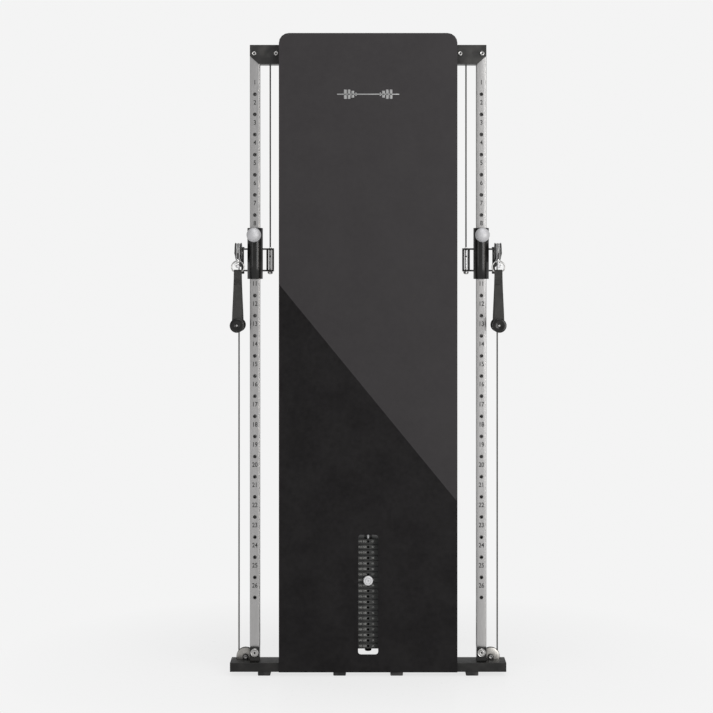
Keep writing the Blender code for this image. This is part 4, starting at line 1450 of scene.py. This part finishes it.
@dataclass
class Cable:
    """One side's cable, in lengths along its route; the lengths between two bodies are left unattached."""

    side: Side
    inner_x: float = 0.329
    outer_x: float = 0.434
    bend: float = 0.0215
    end_gap: float = 0.0006

    def point(self, x: float, z: float) -> Point:
        """A point of the cable's own plane behind the uprights."""
        return (self.side.x(x), CABLE_Y, z)

    def arc(self, wheel: str, radius: float, start: float, end: float, steps: int = 18) -> list[Point]:
        """The cable's points round a wheel.

        Args:
            wheel: the wheel's name without its side.
            radius: how far from its middle the cable runs.
            start: the first point's angle in degrees, with 0 away from the middle of the machine.
            end: the last point's angle.
            steps: how many steps the arc has.

        Returns:
            The points.
        """
        low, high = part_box(f"{wheel}_{self.side.label}")
        x, z = abs(low.x + high.x) / 2, (low.z + high.z) / 2
        turns = [math.radians(start + (end - start) * step / steps) for step in range(steps + 1)]
        return [self.point(x + radius * math.cos(turn), z + radius * math.sin(turn)) for turn in turns]

    def build(self) -> None:
        """Lay all lengths of the cable."""
        label = self.side.label
        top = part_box(f"cable_top_{label}")[0].z
        gap = self.end_gap
        run = self.arc("top_side_pulley", self.bend, 0, 90)
        run += self.arc("top_centre_pulley", self.bend, 90, 180)
        self.lay("top", run)
        run = self.arc("turn_pulley", 0.02925, 180, 0, 36)
        run += self.arc("base_centre_pulley", 0.020, 180, 270)
        run += self.arc("base_side_pulley", 0.0226, 270, 360)
        self.lay("down", run)
        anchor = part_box(f"cable_inner_{label}")[0].z
        points = [self.point(self.inner_x, anchor), self.point(self.inner_x, top)]
        ends = (points[1], (points[0][0], points[0][1], anchor + 0.01))
        self.lay("inner", points, ("frame", f"carriage_{label}"), ends)
        low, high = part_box(f"cable_loop_{label}")
        turn_z = (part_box(f"turn_pulley_{label}")[0].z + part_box(f"turn_pulley_{label}")[1].z) / 2
        loop = [self.point(0.035 - self.bend, high.z)]
        loop += self.arc("loop_pulley", self.bend, 180, 360, 36)
        loop += [self.point(0.035 + self.bend, turn_z - gap)]
        ends = self.point(0, turn_z - 0.002), self.point(0, low.z + 0.03)
        self.lay("loop", loop, ("frame", "stack"), ends)
        self.build_outer()

    def build_outer(self) -> None:
        """The length that rises outside the upright, turns over the swivel wheel and drops to the handle."""
        label = self.side.label
        low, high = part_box(f"cable_outer_{label}")
        wheel_low, wheel_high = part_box(f"swivel_pulley_{label}")
        x = self.side.x(self.outer_x)
        y, z = (wheel_low.y + wheel_high.y) / 2, (wheel_low.z + wheel_high.z) / 2
        radius, joint = CABLE_Y - y, high.z - 0.24
        start, middle = (x, CABLE_Y, low.z), (x, CABLE_Y, joint)
        carriage, swivel, handle = (f"{body}_{label}" for body in ("carriage", "swivel", "handle"))
        self.lay("rise", [start, middle], ("frame", carriage), (start, (x, CABLE_Y, joint - 0.02)))
        steps = [joint + (z - joint) * step / 12 for step in range(13)]
        wrap = [(x, CABLE_Y, height) for height in steps]
        turns = [math.pi * step / 36 for step in range(1, 37)]
        wrap += [(x, y + radius * math.cos(turn), z + radius * math.sin(turn)) for turn in turns]
        ends = ((x, y, joint), (x, y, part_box(f"snap_hook_{label}")[1].z - 0.02))
        self.lay("wrap", wrap, (carriage, swivel), ends)
        foot = (x, y - radius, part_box(f"snap_hook_{label}")[1].z - 0.0015)
        head = (x, y - radius, z)
        self.lay("drop", [head, foot], (swivel, handle), (head, foot))

    def lay(
        self,
        length: str,
        points: Sequence[Point],
        bodies: tuple[str, str] | None = None,
        ends: tuple[Point, Point] | None = None,
    ) -> None:
        """Make one length, and fix it on the frame, or leave it unattached where it runs between two bodies.

        Args:
            length: the length's name.
            points: its centre line.
            bodies: the two bodies that it runs between, or None on the frame.
            ends: where it would stop following the first and wholly follow the second; only checked for being
                given, its points are not used.
        """
        label = self.side.label
        stands_for = {"rise": f"cable_outer_{label}", "wrap": None, "drop": None}
        node = stands_for.get(length, f"cable_{length}_{label}")
        cable = Blank.tube(f"cable_{length}_wire_{label}", points, CABLE_RADIUS)
        finish = WORN_CABLE if length == "wrap" else CABLE_COAT
        cable.done(finish, None if bodies else "frame", [node] if node else [])
        if bodies and ends:
            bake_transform(cable.obj)


# ---------------------------------------------------------------- carriages


@dataclass
class Carriage:
    """One sliding sleeve with its arms, cable anchor and pull pin."""

    side: Side
    sleeve_outer: float = 0.026
    sleeve_inner: float = 0.0236
    sleeve_bottom: float = 1.3203
    bush_way: float = 0.0172
    bush_height: float = 0.0080
    bush_gap: float = 0.0002
    arm_heights: Flat = (1.3481, 1.4205)
    arm_half: float = 0.0027
    anchor_x: float = 0.329
    swivel_x: float = 0.423
    swivel_y: float = 0.040
    pin_height: float = 1.4667
    ball_y: float = -0.080
    ball_radius: float = 0.024

    @property
    def body(self) -> str:
        """The body that carries the carriage's own pieces."""
        return f"carriage_{self.side.label}"

    def build(self) -> None:
        """Build and dress the carriage and its pull pin."""
        self.build_sleeve()
        self.build_arms()
        self.build_anchor()
        self.build_housing()
        self.build_knob()

    def build_sleeve(self) -> None:
        """The enamelled sleeve, a tube with rolled edges and nylon bushes in its ends."""
        x, outer, inner = self.side.x(UPRIGHT_X), self.sleeve_outer, self.sleeve_inner
        bottom, top = self.sleeve_bottom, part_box(self.body)[1].z
        profile = [
            (inner, bottom + 0.0012),
            (inner + 0.0008, bottom),
            (outer - 0.0008, bottom),
            (outer, bottom + 0.0010),
            (outer, bottom + 0.060),
            (outer, top - 0.060),
            (outer, top - 0.0010),
            (outer - 0.0008, top),
            (inner + 0.0008, top),
            (inner, top - 0.0012),
        ]
        sleeve = Blank.turned(
            f"sleeve_{self.side.label}", (x, PLANE_Y, 0), Axis.Z, profile, bored=True, sides=72
        )
        sleeve.done(GLOSS_BLACK, self.body, [self.body], smooth=50)
        for name, height in (("top", top - 0.010), ("bottom", bottom + 0.002)):
            ends = (x, PLANE_Y, height), (x, PLANE_Y, height + self.bush_height)
            bush = Blank.bar(f"sleeve_bush_{name}_{self.side.label}", *ends, inner - self.bush_gap, 56)
            low_corner = (x - self.bush_way, PLANE_Y - self.bush_way, height - 0.01)
            high_corner = (x + self.bush_way, PLANE_Y + self.bush_way, height + 0.02)
            bush.cut(Blank.block("way", low_corner, high_corner)).done(BLACK_PLASTIC, self.body)

    def arm_outline(self) -> list[Flat]:
        """One arm seen from above, from the cable anchor round the sleeve to the swivel pin."""
        points = [
            (UPRIGHT_X - 0.062, 0.034),
            (UPRIGHT_X - 0.061, 0.014),
            (UPRIGHT_X - 0.050, 0.004),
            (UPRIGHT_X - 0.028, -0.006),
            (UPRIGHT_X + 0.004, -0.024),
            (UPRIGHT_X + 0.0265, -0.004),
            (UPRIGHT_X + 0.035, 0.020),
        ]
        for step in range(9):
            turn = math.radians(-20 + 115 * step / 8)
            points.append((self.swivel_x + 0.0088 * math.cos(turn), self.swivel_y + 0.0088 * math.sin(turn)))
        points.append((UPRIGHT_X - 0.010, 0.038))
        points = [(self.side.x(x), machine_y(y)) for x, y in points]
        return points if self.side is Side.RIGHT else list(reversed(points))

    def build_arms(self) -> None:
        """The two flat arms, each bored for the sleeve and for the swivel pin."""
        x = self.side.x(UPRIGHT_X)
        pin_x, pin_y = self.side.x(self.swivel_x), machine_y(self.swivel_y)
        for place, z in zip(("lower", "upper"), self.arm_heights):
            arm = Blank.outline(
                f"arm_{place}_{self.side.label}", self.arm_outline(), 2 * self.arm_half, (0, 0, z)
            )
            arm.bevel(0.0007, 2)
            low, high = z - 0.01, z + 0.01
            sleeve_way = Blank.bar(
                "sleeve_way", (x, PLANE_Y, low), (x, PLANE_Y, high), self.sleeve_inner + 0.0004, 56
            )
            pin_way = Blank.bar("pin_way", (pin_x, pin_y, low), (pin_x, pin_y, high), 0.0051, 24)
            arm.cut(sleeve_way, pin_way).done(BLACK_PAINT, self.body)

    def build_anchor(self) -> None:
        """The bright threaded barrel that holds the cable's end, between two dark cheeks."""
        x, label = self.side.x(self.anchor_x), self.side.label
        low, high = self.arm_heights
        for place, start, width in (("inner", -0.0125, 0.0062), ("outer", 0.0063, 0.0064)):
            first, last = sorted(
                (self.side.x(self.anchor_x + start), self.side.x(self.anchor_x + start + width))
            )
            corners = ((first, machine_y(0.014), low + 0.002), (last, machine_y(0.034), high - 0.002))
            cheek = Blank.block(f"anchor_cheek_{place}_{label}", *corners)
            cheek.bevel(0.0016, 3).done(BLACK_PAINT, self.body)
        profile = [(0.0036, low - 0.009)]
        turns = 22
        pitch = (high - low - 0.004) / turns
        for turn in range(turns):
            z = low + 0.002 + turn * pitch
            profile += [(0.0041, z), (0.0046, z + pitch * 0.45), (0.0041, z + pitch * 0.9)]
        profile += [(0.0042, high + 0.0015), (0.0050, high + 0.0030), (0.0036, high + 0.0052)]
        barrel = Blank.turned(f"anchor_barrel_{label}", (x, CABLE_Y, 0), Axis.Z, profile, sides=28)
        barrel.done(CHROME, self.body, smooth=50)
        tip = [(0.0060, -0.0030), (0.0092, -0.0034), (0.0094, -0.0070)]
        tip += [(0.0080, -0.0104), (0.0040, -0.0122), (0.0008, -0.0126)]
        cap = Blank.turned(f"anchor_cap_{label}", (x, CABLE_Y, low), Axis.Z, tip, sides=40)
        cap.done(BOLT_STEEL, self.body)
        # Painted shade: the small dark disc turned here on the barrel's front stands for a dark dot of shade
        # at this height.
        screw = [(0.0022, 0.0), (0.0022, -0.0008), (0.0014, -0.0012), (0.0004, -0.0010)]
        place = (x, CABLE_Y - 0.0042, low + (high - low) * 0.66)
        Blank.turned(f"anchor_screw_{label}", place, Axis.Y, screw, sides=20).done(DARK_RIM, self.body)

    def build_housing(self) -> None:
        """The turned housing of the pull pin on the sleeve's front."""
        x = self.side.x(UPRIGHT_X)
        profile = [
            (0.0044, -0.0245),
            (0.0100, -0.0245),
            (0.0100, -0.0300),
            (0.0108, -0.0310),
            (0.0108, -0.0350),
            (0.0098, -0.0360),
            (0.0098, -0.0470),
            (0.0088, -0.0480),
            (0.0044, -0.0480),
        ]
        name = f"pin_housing_{self.side.label}"
        housing = Blank.turned(name, (x, PLANE_Y, self.pin_height), Axis.Y, profile, bored=True, sides=40)
        housing.done(BLACK_PAINT, self.body)

    def build_knob(self) -> None:
        """The satin ball on its neck and pin."""
        label = self.side.label
        node = f"pull_knob_{label}"
        x, y, radius = self.side.x(UPRIGHT_X), machine_y(self.ball_y), self.ball_radius
        profile = [(0.0005, -radius)]
        for step in range(1, 30):
            turn = math.radians(-90 + 150 * step / 29)
            profile.append((radius * math.cos(turn), radius * math.sin(turn)))
        profile += [(0.0105, 0.0222), (0.0100, 0.0236), (0.0038, 0.0240), (0.0038, 0.0617), (0.0030, 0.0622)]
        ball = Blank.turned(f"pull_ball_{label}", (x, y, self.pin_height), Axis.Y, profile, sides=64)
        ball.done(BALL_SILVER, node, [node], smooth=50)


# ---------------------------------------------------------------- swivels and handles


@dataclass
class SwivelHead:
    """The bracket that turns on the carriage and holds the outer wheel."""

    side: Side
    wheel_x: float = 0.434
    pin_x: float = 0.423
    pin_y: float = 0.040
    cheek_gap: float = 0.0080
    cheek_thickness: float = 0.0030
    guard: float = 0.0340

    def build(self) -> None:
        """Build the pin, the two cheeks with their back and the wheel's axle."""
        label = self.side.label
        node = f"swivel_{label}"
        low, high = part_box(node)
        pin_x, pin_y = self.side.x(self.pin_x), machine_y(self.pin_y)
        profile = [
            (0.0036, low.z),
            (0.0060, low.z + 0.0010),
            (0.0062, low.z + 0.0065),
            (0.0047, low.z + 0.0070),
            (0.0047, high.z - 0.0040),
            (0.0066, high.z - 0.0036),
            (0.0066, high.z - 0.0012),
            (0.0052, high.z),
        ]
        pin = Blank.turned(f"swivel_pin_{label}", (pin_x, pin_y, 0), Axis.Z, profile, sides=32)
        pin.done(BLACK_PAINT, node, [node])
        wheel_low, wheel_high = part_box(f"swivel_pulley_{label}")
        y, z = (wheel_low.y + wheel_high.y) / 2, (wheel_low.z + wheel_high.z) / 2
        x, back = self.side.x(self.wheel_x), machine_y(0.0385)
        points = [(back, z - 0.027), (back, z + 0.002)]
        turns = [math.radians(20 + 165 * step / 24) for step in range(25)]
        points += [(y + self.guard * math.cos(turn), z + self.guard * math.sin(turn)) for turn in turns]
        points += [(y - 0.012, z - 0.010), (y + 0.010, z - 0.018)]
        for place, direction in (("inner", -1), ("outer", 1)):
            middle = x + direction * (self.cheek_gap + self.cheek_thickness / 2)
            name = f"swivel_cheek_{place}_{label}"
            turn = (math.pi / 2, 0, math.pi / 2)
            cheek = Blank.outline(name, points, self.cheek_thickness, (middle, 0, 0), turn)
            cheek.bevel(0.0005, 2).done(BLACK_PAINT, node)
        reach = self.cheek_gap + self.cheek_thickness
        edges = sorted((x + self.side.value * reach, pin_x - self.side.value * 0.003))
        corners = ((edges[0], wheel_high.y + 0.0012, z - 0.027), (edges[1], back + 0.0005, z + 0.002))
        Blank.block(f"swivel_back_{label}", *corners).bevel(0.0008, 2).done(BLACK_PAINT, node)
        head = [(0.0050, 0.0), (0.0052, 0.0004), (0.0052, 0.0022), (0.0042, 0.0030), (0.0006, 0.0032)]
        for place, direction in (("inner", -1), ("outer", 1)):
            stations = [(radius, direction * height) for radius, height in head]
            start = (x + direction * (reach - 0.0004), y, z)
            Blank.turned(
                f"swivel_rivet_{place}_{label}", start, Axis.X, stations, sides=28
            ).done(BOLT_STEEL, node)


@dataclass
class Handle:
    """Cable stop, shackle, D-ring, stitched webbing and grip of one side."""

    side: Side
    x_distance: float = 0.434
    stop_height: float = 1.3810
    ring_height: float = 1.3600
    ring_radius: float = 0.0205
    ring_wire: float = 0.0022
    bar_height: float = 1.3468
    fork_height: float = 1.3020
    grip_height: float = 1.1667
    grip_half: float = 0.056
    barrel: float = 0.0170
    flange: float = 0.0235
    spread: float = 0.0435
    strap_top_half: float = 0.0132
    strap_foot_half: float = 0.0168
    strap_thickness: float = 0.0024

    @property
    def body(self) -> str:
        """The body that carries the handle."""
        return f"handle_{self.side.label}"

    @property
    def line(self) -> Flat:
        """The X and Y of the handle's own upright line."""
        low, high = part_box(f"handle_grip_{self.side.label}")
        return self.side.x(self.x_distance), (low.y + high.y) / 2

    def build(self) -> None:
        """Build and dress every piece of the handle."""
        self.build_stop()
        self.build_ring()
        self.build_strap()
        self.build_stitches()
        self.build_grip()

    def build_stop(self) -> None:
        """The bright cable stop, the shackle under it and the bolt that closes it."""
        (x, y), label = self.line, self.side.label
        z = self.stop_height
        profile = [(0.0030, 0.0067), (0.0040, 0.0060)]
        for step in range(15):
            turn = math.radians(58 - 116 * step / 14)
            profile.append((0.0064 * math.cos(turn), 0.0064 * math.sin(turn)))
        profile += [
            (0.0034, -0.0062), (0.0034, -0.0075), (0.0046, -0.0080), (0.0046, -0.0105), (0.0030, -0.0115)
        ]
        stop = Blank.turned(f"cable_stop_{label}", (x, y, z), Axis.Z, profile, sides=40)
        stop.done(CHROME, self.body, [f"snap_hook_{label}"], smooth=50)
        turns = [math.radians(112 + 316 * step / 24) for step in range(25)]
        centre = z - 0.0080
        loop = [(x + 0.0085 * math.cos(turn), y, centre - 0.0035 + 0.0105 * math.sin(turn)) for turn in turns]
        shackle = Blank.tube(f"shackle_{label}", loop, 0.0022)
        shackle.done(CHROME, self.body, smooth=60)
        gate_x, gate_y = x - self.side.x(0.0086), y - 0.0008
        start, end = (gate_x, gate_y, centre - 0.0120), (gate_x, gate_y, centre + 0.0040)
        gate = Blank.bar(f"shackle_gate_{label}", start, end, 0.0029, 20)
        gate.bevel(0.0010, 2).done(GLOSS_BLACK, self.body)
        bolt = [
            (0.0020, -0.0130),
            (0.0044, -0.0136),
            (0.0050, -0.0160),
            (0.0050, -0.0215),
            (0.0040, -0.0232),
            (0.0010, -0.0238),
        ]
        Blank.turned(f"shackle_bolt_{label}", (x, y, z), Axis.Z, bolt, sides=24).done(SATIN_SILVER, self.body)

    def build_ring(self) -> None:
        """The D-ring: a round bow closed by a straight bar inside the webbing."""
        x, y = self.line
        radius = self.ring_radius
        drop = self.ring_height - self.bar_height
        edge = math.degrees(math.asin(drop / radius))
        turns = [math.radians(-edge + (180 + 2 * edge) * step / 40) for step in range(41)]
        bow = [(x + radius * math.cos(turn), y, self.ring_height + radius * math.sin(turn)) for turn in turns]
        inner = radius * math.cos(math.radians(edge)) - 0.0016
        closing = [(x - inner + 2 * inner * step / 8, y, self.bar_height) for step in range(9)]
        ring = Blank.tube(f"d_ring_{self.side.label}", bow + closing + [bow[0]], self.ring_wire)
        ring.done(BOLT_STEEL, self.body, smooth=60)

    def strap_half(self, z: float) -> float:
        """Half the webbing's width at a height."""
        foot, top = self.grip_height, self.bar_height
        share = min(1.0, max(0.0, (z - foot) / (top - foot)))
        return self.strap_foot_half + (self.strap_top_half - self.strap_foot_half) * share

    def strip(self, name: str, path: Sequence[Flat]) -> Blank:
        """A strip of webbing that follows (y, z) points: a grid whose rows are moved onto the path.

        Args:
            name: the piece's name.
            path: the strip's middle line, from Y and Z.

        Returns:
            The strip, with its thickness.
        """
        select_only()
        columns, rows = 8, len(path) - 1
        bpy.ops.mesh.primitive_grid_add(x_subdivisions=columns, y_subdivisions=rows, size=2.0, calc_uvs=True)
        strip = Blank(name)
        x = self.line[0]
        for vert in strip.obj.data.vertices:
            row = round((vert.co.y + 1) / 2 * rows)
            y, z = path[row]
            vert.co = Vector((x + vert.co.x * self.strap_half(z), y, z))
        wall = strip.obj.modifiers.new("thickness", "SOLIDIFY")
        wall.thickness = self.strap_thickness
        wall.offset = 0.0
        strip.apply(wall)
        strip.edit("FACE", lambda face: True)
        bpy.ops.mesh.normals_make_consistent(inside=False)
        bpy.ops.object.mode_set(mode="OBJECT")
        return strip.bevel(0.0005, 2)

    def build_strap(self) -> None:
        """The webbing: a loop round the D-ring's bar, a sewn throat and two legs that reach the grip."""
        (_, y), label = self.line, self.side.label
        half = self.strap_thickness / 2 + 0.0002
        bend = self.ring_wire + self.strap_thickness / 2 + 0.0002
        turns = [math.radians(-10 + 200 * step / 12) for step in range(13)]
        loop = [(y - bend * math.cos(turn), self.bar_height + bend * math.sin(turn)) for turn in turns]
        front = [
            (y - half, self.fork_height - 0.004), (y - half, self.fork_height + 0.012), (y - half, 1.3300)
        ]
        back = [
            (y + half, 1.3300), (y + half, self.fork_height + 0.012), (y + half, self.fork_height - 0.004)
        ]
        throat = self.strip(f"strap_throat_{label}", front + loop + back)
        throat.done(WEBBING, self.body, [f"handle_strap_{label}"], smooth=50)
        foot = self.grip_height + 0.004
        for place, direction in (("front", -1), ("back", 1)):
            start, end = direction * (half * 3 + 0.0001), direction * self.spread
            path = [(y + start, 1.3160), (y + start, self.fork_height + 0.004)]
            for step in range(1, 12):
                share = step / 12
                ease = share * share * (3 - 2 * share)
                swing = start + (end - start) * (0.70 * share + 0.30 * ease)
                path.append((y + swing, self.fork_height + (foot + 0.018 - self.fork_height) * share))
            path += [(y + end, foot + 0.012), (y + end, foot + 0.006), (y + end, foot)]
            leg = self.strip(f"strap_leg_{place}_{label}", path)
            saddle_way = Blank.bar(
                "saddle_way",
                (self.line[0], y - 0.08, self.grip_height),
                (self.line[0], y + 0.08, self.grip_height),
                self.barrel + 0.0016,
                48,
            )
            leg.cut(saddle_way).done(WEBBING, self.body, smooth=50)

    def build_stitches(self) -> None:
        """Rows of thread across the throat, front and back."""
        x, y = self.line
        reach = self.strap_thickness * 2.5 + 0.0007
        rows = ((self.fork_height + 0.0015, 0.0125), (self.fork_height + 0.0085, 0.0125))
        stitches = []
        for direction in (-1, 1):
            for z, width in rows:
                count = 9
                for index in range(count):
                    middle = x - width + 2 * width * (index + 0.5) / count
                    start = (middle - 0.0011, y + direction * reach, z)
                    end = (middle + 0.0011, y + direction * reach, z + 0.0002)
                    stitches.append(Blank.bar("stitch", start, end, 0.0005, 6))
            outer = y + direction * (reach + 0.0006)
            edges = sorted((y + direction * (reach - 0.0012), outer))
            hem = self.fork_height - 0.0014
            corners = (
                (x - self.strap_half(hem), edges[0], hem),
                (x + self.strap_half(hem), edges[1], hem + 0.0022)
            )
            stitches.append(Blank.block("hem", *corners).bevel(0.0004, 2))
        row = stitches[0].with_parts(*stitches[1:])
        row.obj.name = f"strap_stitches_{self.side.label}"
        row.done(THREAD, self.body)

    def build_grip(self) -> None:
        """The foam barrel with its fine ribs, the saddles under the webbing and the glossy end caps."""
        (x, y), label = self.line, self.side.label
        half, barrel = self.grip_half, self.barrel
        neck = half - 0.009
        profile = [(0.0042, -neck), (barrel, -neck)]
        ribs = 18
        length = 2 * (neck - 0.012)
        for rib in range(ribs):
            start = -neck + 0.012 + length * rib / ribs
            swell = 0.0007 * math.sin(math.pi * (rib + 0.5) / ribs)
            profile += [(barrel - 0.0006, start), (barrel + swell, start + length / ribs * 0.35)]
            profile += [(barrel + swell, start + length / ribs * 0.75)]
        profile += [(barrel, neck), (0.0042, neck)]
        foam = Blank.turned(
            f"grip_foam_{label}", (x, y, self.grip_height), Axis.Y, profile, bored=True, sides=48
        )
        foam.done(FOAM, self.body, [f"handle_grip_{label}"], smooth=40)
        seat, crown = barrel + 0.0002, barrel + 0.0014
        saddle = [(seat, -0.0042), (crown, -0.0042), (crown, 0.0034), (seat, 0.0034)]
        flange = self.flange
        cap = [
            (flange - 0.0010, 0.0),
            (flange, 0.0012),
            (flange, 0.0060),
            (flange - 0.0008, 0.0078),
            (flange - 0.0030, 0.0090),
            (flange - 0.0100, 0.0088),
            (0.0062, 0.0078),
            (0.0052, 0.0072),
            (0.0046, 0.0058),
            (0.0042, 0.0),
        ]
        for place, direction in (("front", -1), ("back", 1)):
            centre = (x, y + direction * (neck - 0.0045), self.grip_height)
            stations = [(radius, direction * height) for radius, height in saddle]
            ring = Blank.turned(
                f"grip_saddle_{place}_{label}", centre, Axis.Y, stations, bored=True, sides=40
            )
            ring.done(BLACK_PLASTIC, self.body)
            stations = [(radius, direction * height) for radius, height in cap]
            centre = (x, y + direction * (neck + 0.0001), self.grip_height)
            end = Blank.turned(f"grip_cap_{place}_{label}", centre, Axis.Y, stations, bored=True, sides=64)
            end.done(GLOSS_BLACK, self.body, smooth=50)
            core = [(0.0041, 0.0), (0.0041, 0.0040), (0.0034, 0.0046), (0.0010, 0.0044)]
            stations = [(radius, direction * height) for radius, height in core]
            plug = Blank.turned(f"grip_core_{place}_{label}", centre, Axis.Y, stations, sides=24)
            plug.done(BOLT_STEEL, self.body)


# ---------------------------------------------------------------- studio


@dataclass
class Studio:
    """Camera, pale floor and soft light."""

    eye_height: float = 1.387
    distance: float = 6.5
    lens: float = 97.97
    shift: Flat = (-0.0163, -0.1367)
    backdrop: Colour = (0.904, 0.904, 0.904)
    surround: float = 0.60
    warm: Colour = (1.0, 0.92, 0.84)
    sensor: float = 36.0
    floor_radius: float = 60.0
    floor_shine: Flat = (0.26, 0.40)
    fade_from: float = 0.45
    fade_to: float = 1.30
    least_glow: float = 0.80

    def build(self) -> None:
        """Set up the whole studio."""
        self.place_camera()
        self.lay_floor()
        self.light()

    def place_camera(self) -> None:
        """The camera, level with the pull pins and in front of the machine."""
        data = bpy.data.cameras.new("camera")
        data.lens = self.lens
        data.sensor_width = self.sensor
        data.shift_x, data.shift_y = self.shift
        camera = bpy.data.objects.new("camera", data)
        camera.location = (0.0, machine_y(-self.distance), self.eye_height)
        camera.rotation_euler = (math.pi / 2, 0, 0)
        bpy.context.scene.collection.objects.link(camera)
        bpy.context.scene.camera = camera

    def lay_floor(self) -> None:
        """A pale floor that fades into the backdrop away from the machine."""
        select_only()
        bpy.ops.mesh.primitive_circle_add(
            vertices=96, radius=self.floor_radius, fill_type="NGON", location=(0, 0, 0)
        )
        floor = bpy.context.object
        floor.name = "floor"
        material = bpy.data.materials.new("pale_floor")
        material.use_nodes = True
        sheet = Sheet(material.node_tree)
        shader = material.node_tree.nodes["Principled BSDF"]
        shader.inputs["Base Color"].default_value = (0.86, 0.86, 0.86, 1.0)
        shader.inputs["Roughness"].default_value = 0.32
        shader.inputs["Specular IOR Level"].default_value = 0.45
        place = sheet.add("TexCoord").outputs["Object"]
        grain = sheet.add("TexNoise", ("Vector", place), ("Scale", 60.0)).outputs["Fac"]
        sheet.feed(shader, ("Roughness", sheet.span(grain, 0.3, 0.7, *self.floor_shine)))
        glow = sheet.add("Emission", ("Color", (*self.backdrop, 1.0)), ("Strength", 1.0))
        reach = sheet.add("VectorMath", (0, place), operation="LENGTH").outputs["Value"]
        far = sheet.span(reach, self.fade_from, self.fade_to, self.least_glow, 1.0)
        blend = sheet.add("MixShader", (0, far), (1, shader.outputs[0]), (2, glow.outputs[0]))
        output = material.node_tree.nodes["Material Output"]
        sheet.tree.links.new(blend.outputs[0], output.inputs["Surface"])
        floor.data.materials.append(material)

    def light(self) -> None:
        """A white surround, two tall soft boxes and a soft light from above."""
        world = bpy.data.worlds.new("surround")
        world.use_nodes = True
        sheet = Sheet(world.node_tree)
        seen = world.node_tree.nodes["Background"]
        sheet.feed(seen, ("Color", (*self.backdrop, 1.0)), ("Strength", 1.0))
        lit = sheet.add("Background", ("Color", (*self.backdrop, 1.0)), ("Strength", self.surround))
        path = sheet.add("LightPath").outputs["Is Camera Ray"]
        both = sheet.add("MixShader", (0, path), (1, lit.outputs[0]), (2, seen.outputs[0]))
        sheet.tree.links.new(both.outputs[0], world.node_tree.nodes["World Output"].inputs["Surface"])
        bpy.context.scene.world = world
        boxes = (
            ("key", (2.15, -3.6, 1.6), (0.0, 0.0, 1.1), 76.0, (1.4, 3.1)),
            ("fill", (-3.0, -3.6, 1.6), (0.0, 0.0, 1.1), 12.0, (0.9, 2.2)),
            ("above", (0.3, -1.2, 4.2), (0.0, 0.0, 0.8), 45.0, (2.2, 1.6)),
            ("strip", (3.4, -3.2, 1.3), (0.38, -0.26, 1.3), 22.0, (0.3, 2.4)),
        )
        for name, place, aim, power, (width, height) in boxes:
            data = bpy.data.lights.new(f"{name}_light", "AREA")
            data.color = self.warm if name == "strip" else (1.0, 1.0, 1.0)
            data.shape = "RECTANGLE"
            data.size, data.size_y = width, height
            data.energy = power
            light = bpy.data.objects.new(f"{name}_light", data)
            light.location = place
            light.rotation_euler = (Vector(aim) - Vector(place)).to_track_quat("-Z", "Y").to_euler()
            bpy.context.scene.collection.objects.link(light)


def main() -> None:
    """Build every sub-assembly in order."""
    logging.basicConfig(level=logging.INFO, format="%(message)s")
    bpy.context.scene.view_settings.view_transform = "Standard"
    Studio().build()
    Base().build()
    for side in Side:
        Upright(side).build()
    Crossbar().build()
    FrontPanel().build()
    WeightStack().build()
    wheels = ("top_side_pulley", "top_centre_pulley", "loop_pulley", "turn_pulley", "base_centre_pulley")
    for side in Side:
        for wheel in wheels:
            Pulley(wheel, side).build()
        Pulley("base_side_pulley", side, covered=True).build()
        Pulley("swivel_pulley", side, Axis.X, SATIN_SILVER).build()
        Cable(side).build()
        Carriage(side).build()
        SwivelHead(side).build()
        Handle(side).build()
    select_only()


if __name__ == "__main__":
    main()
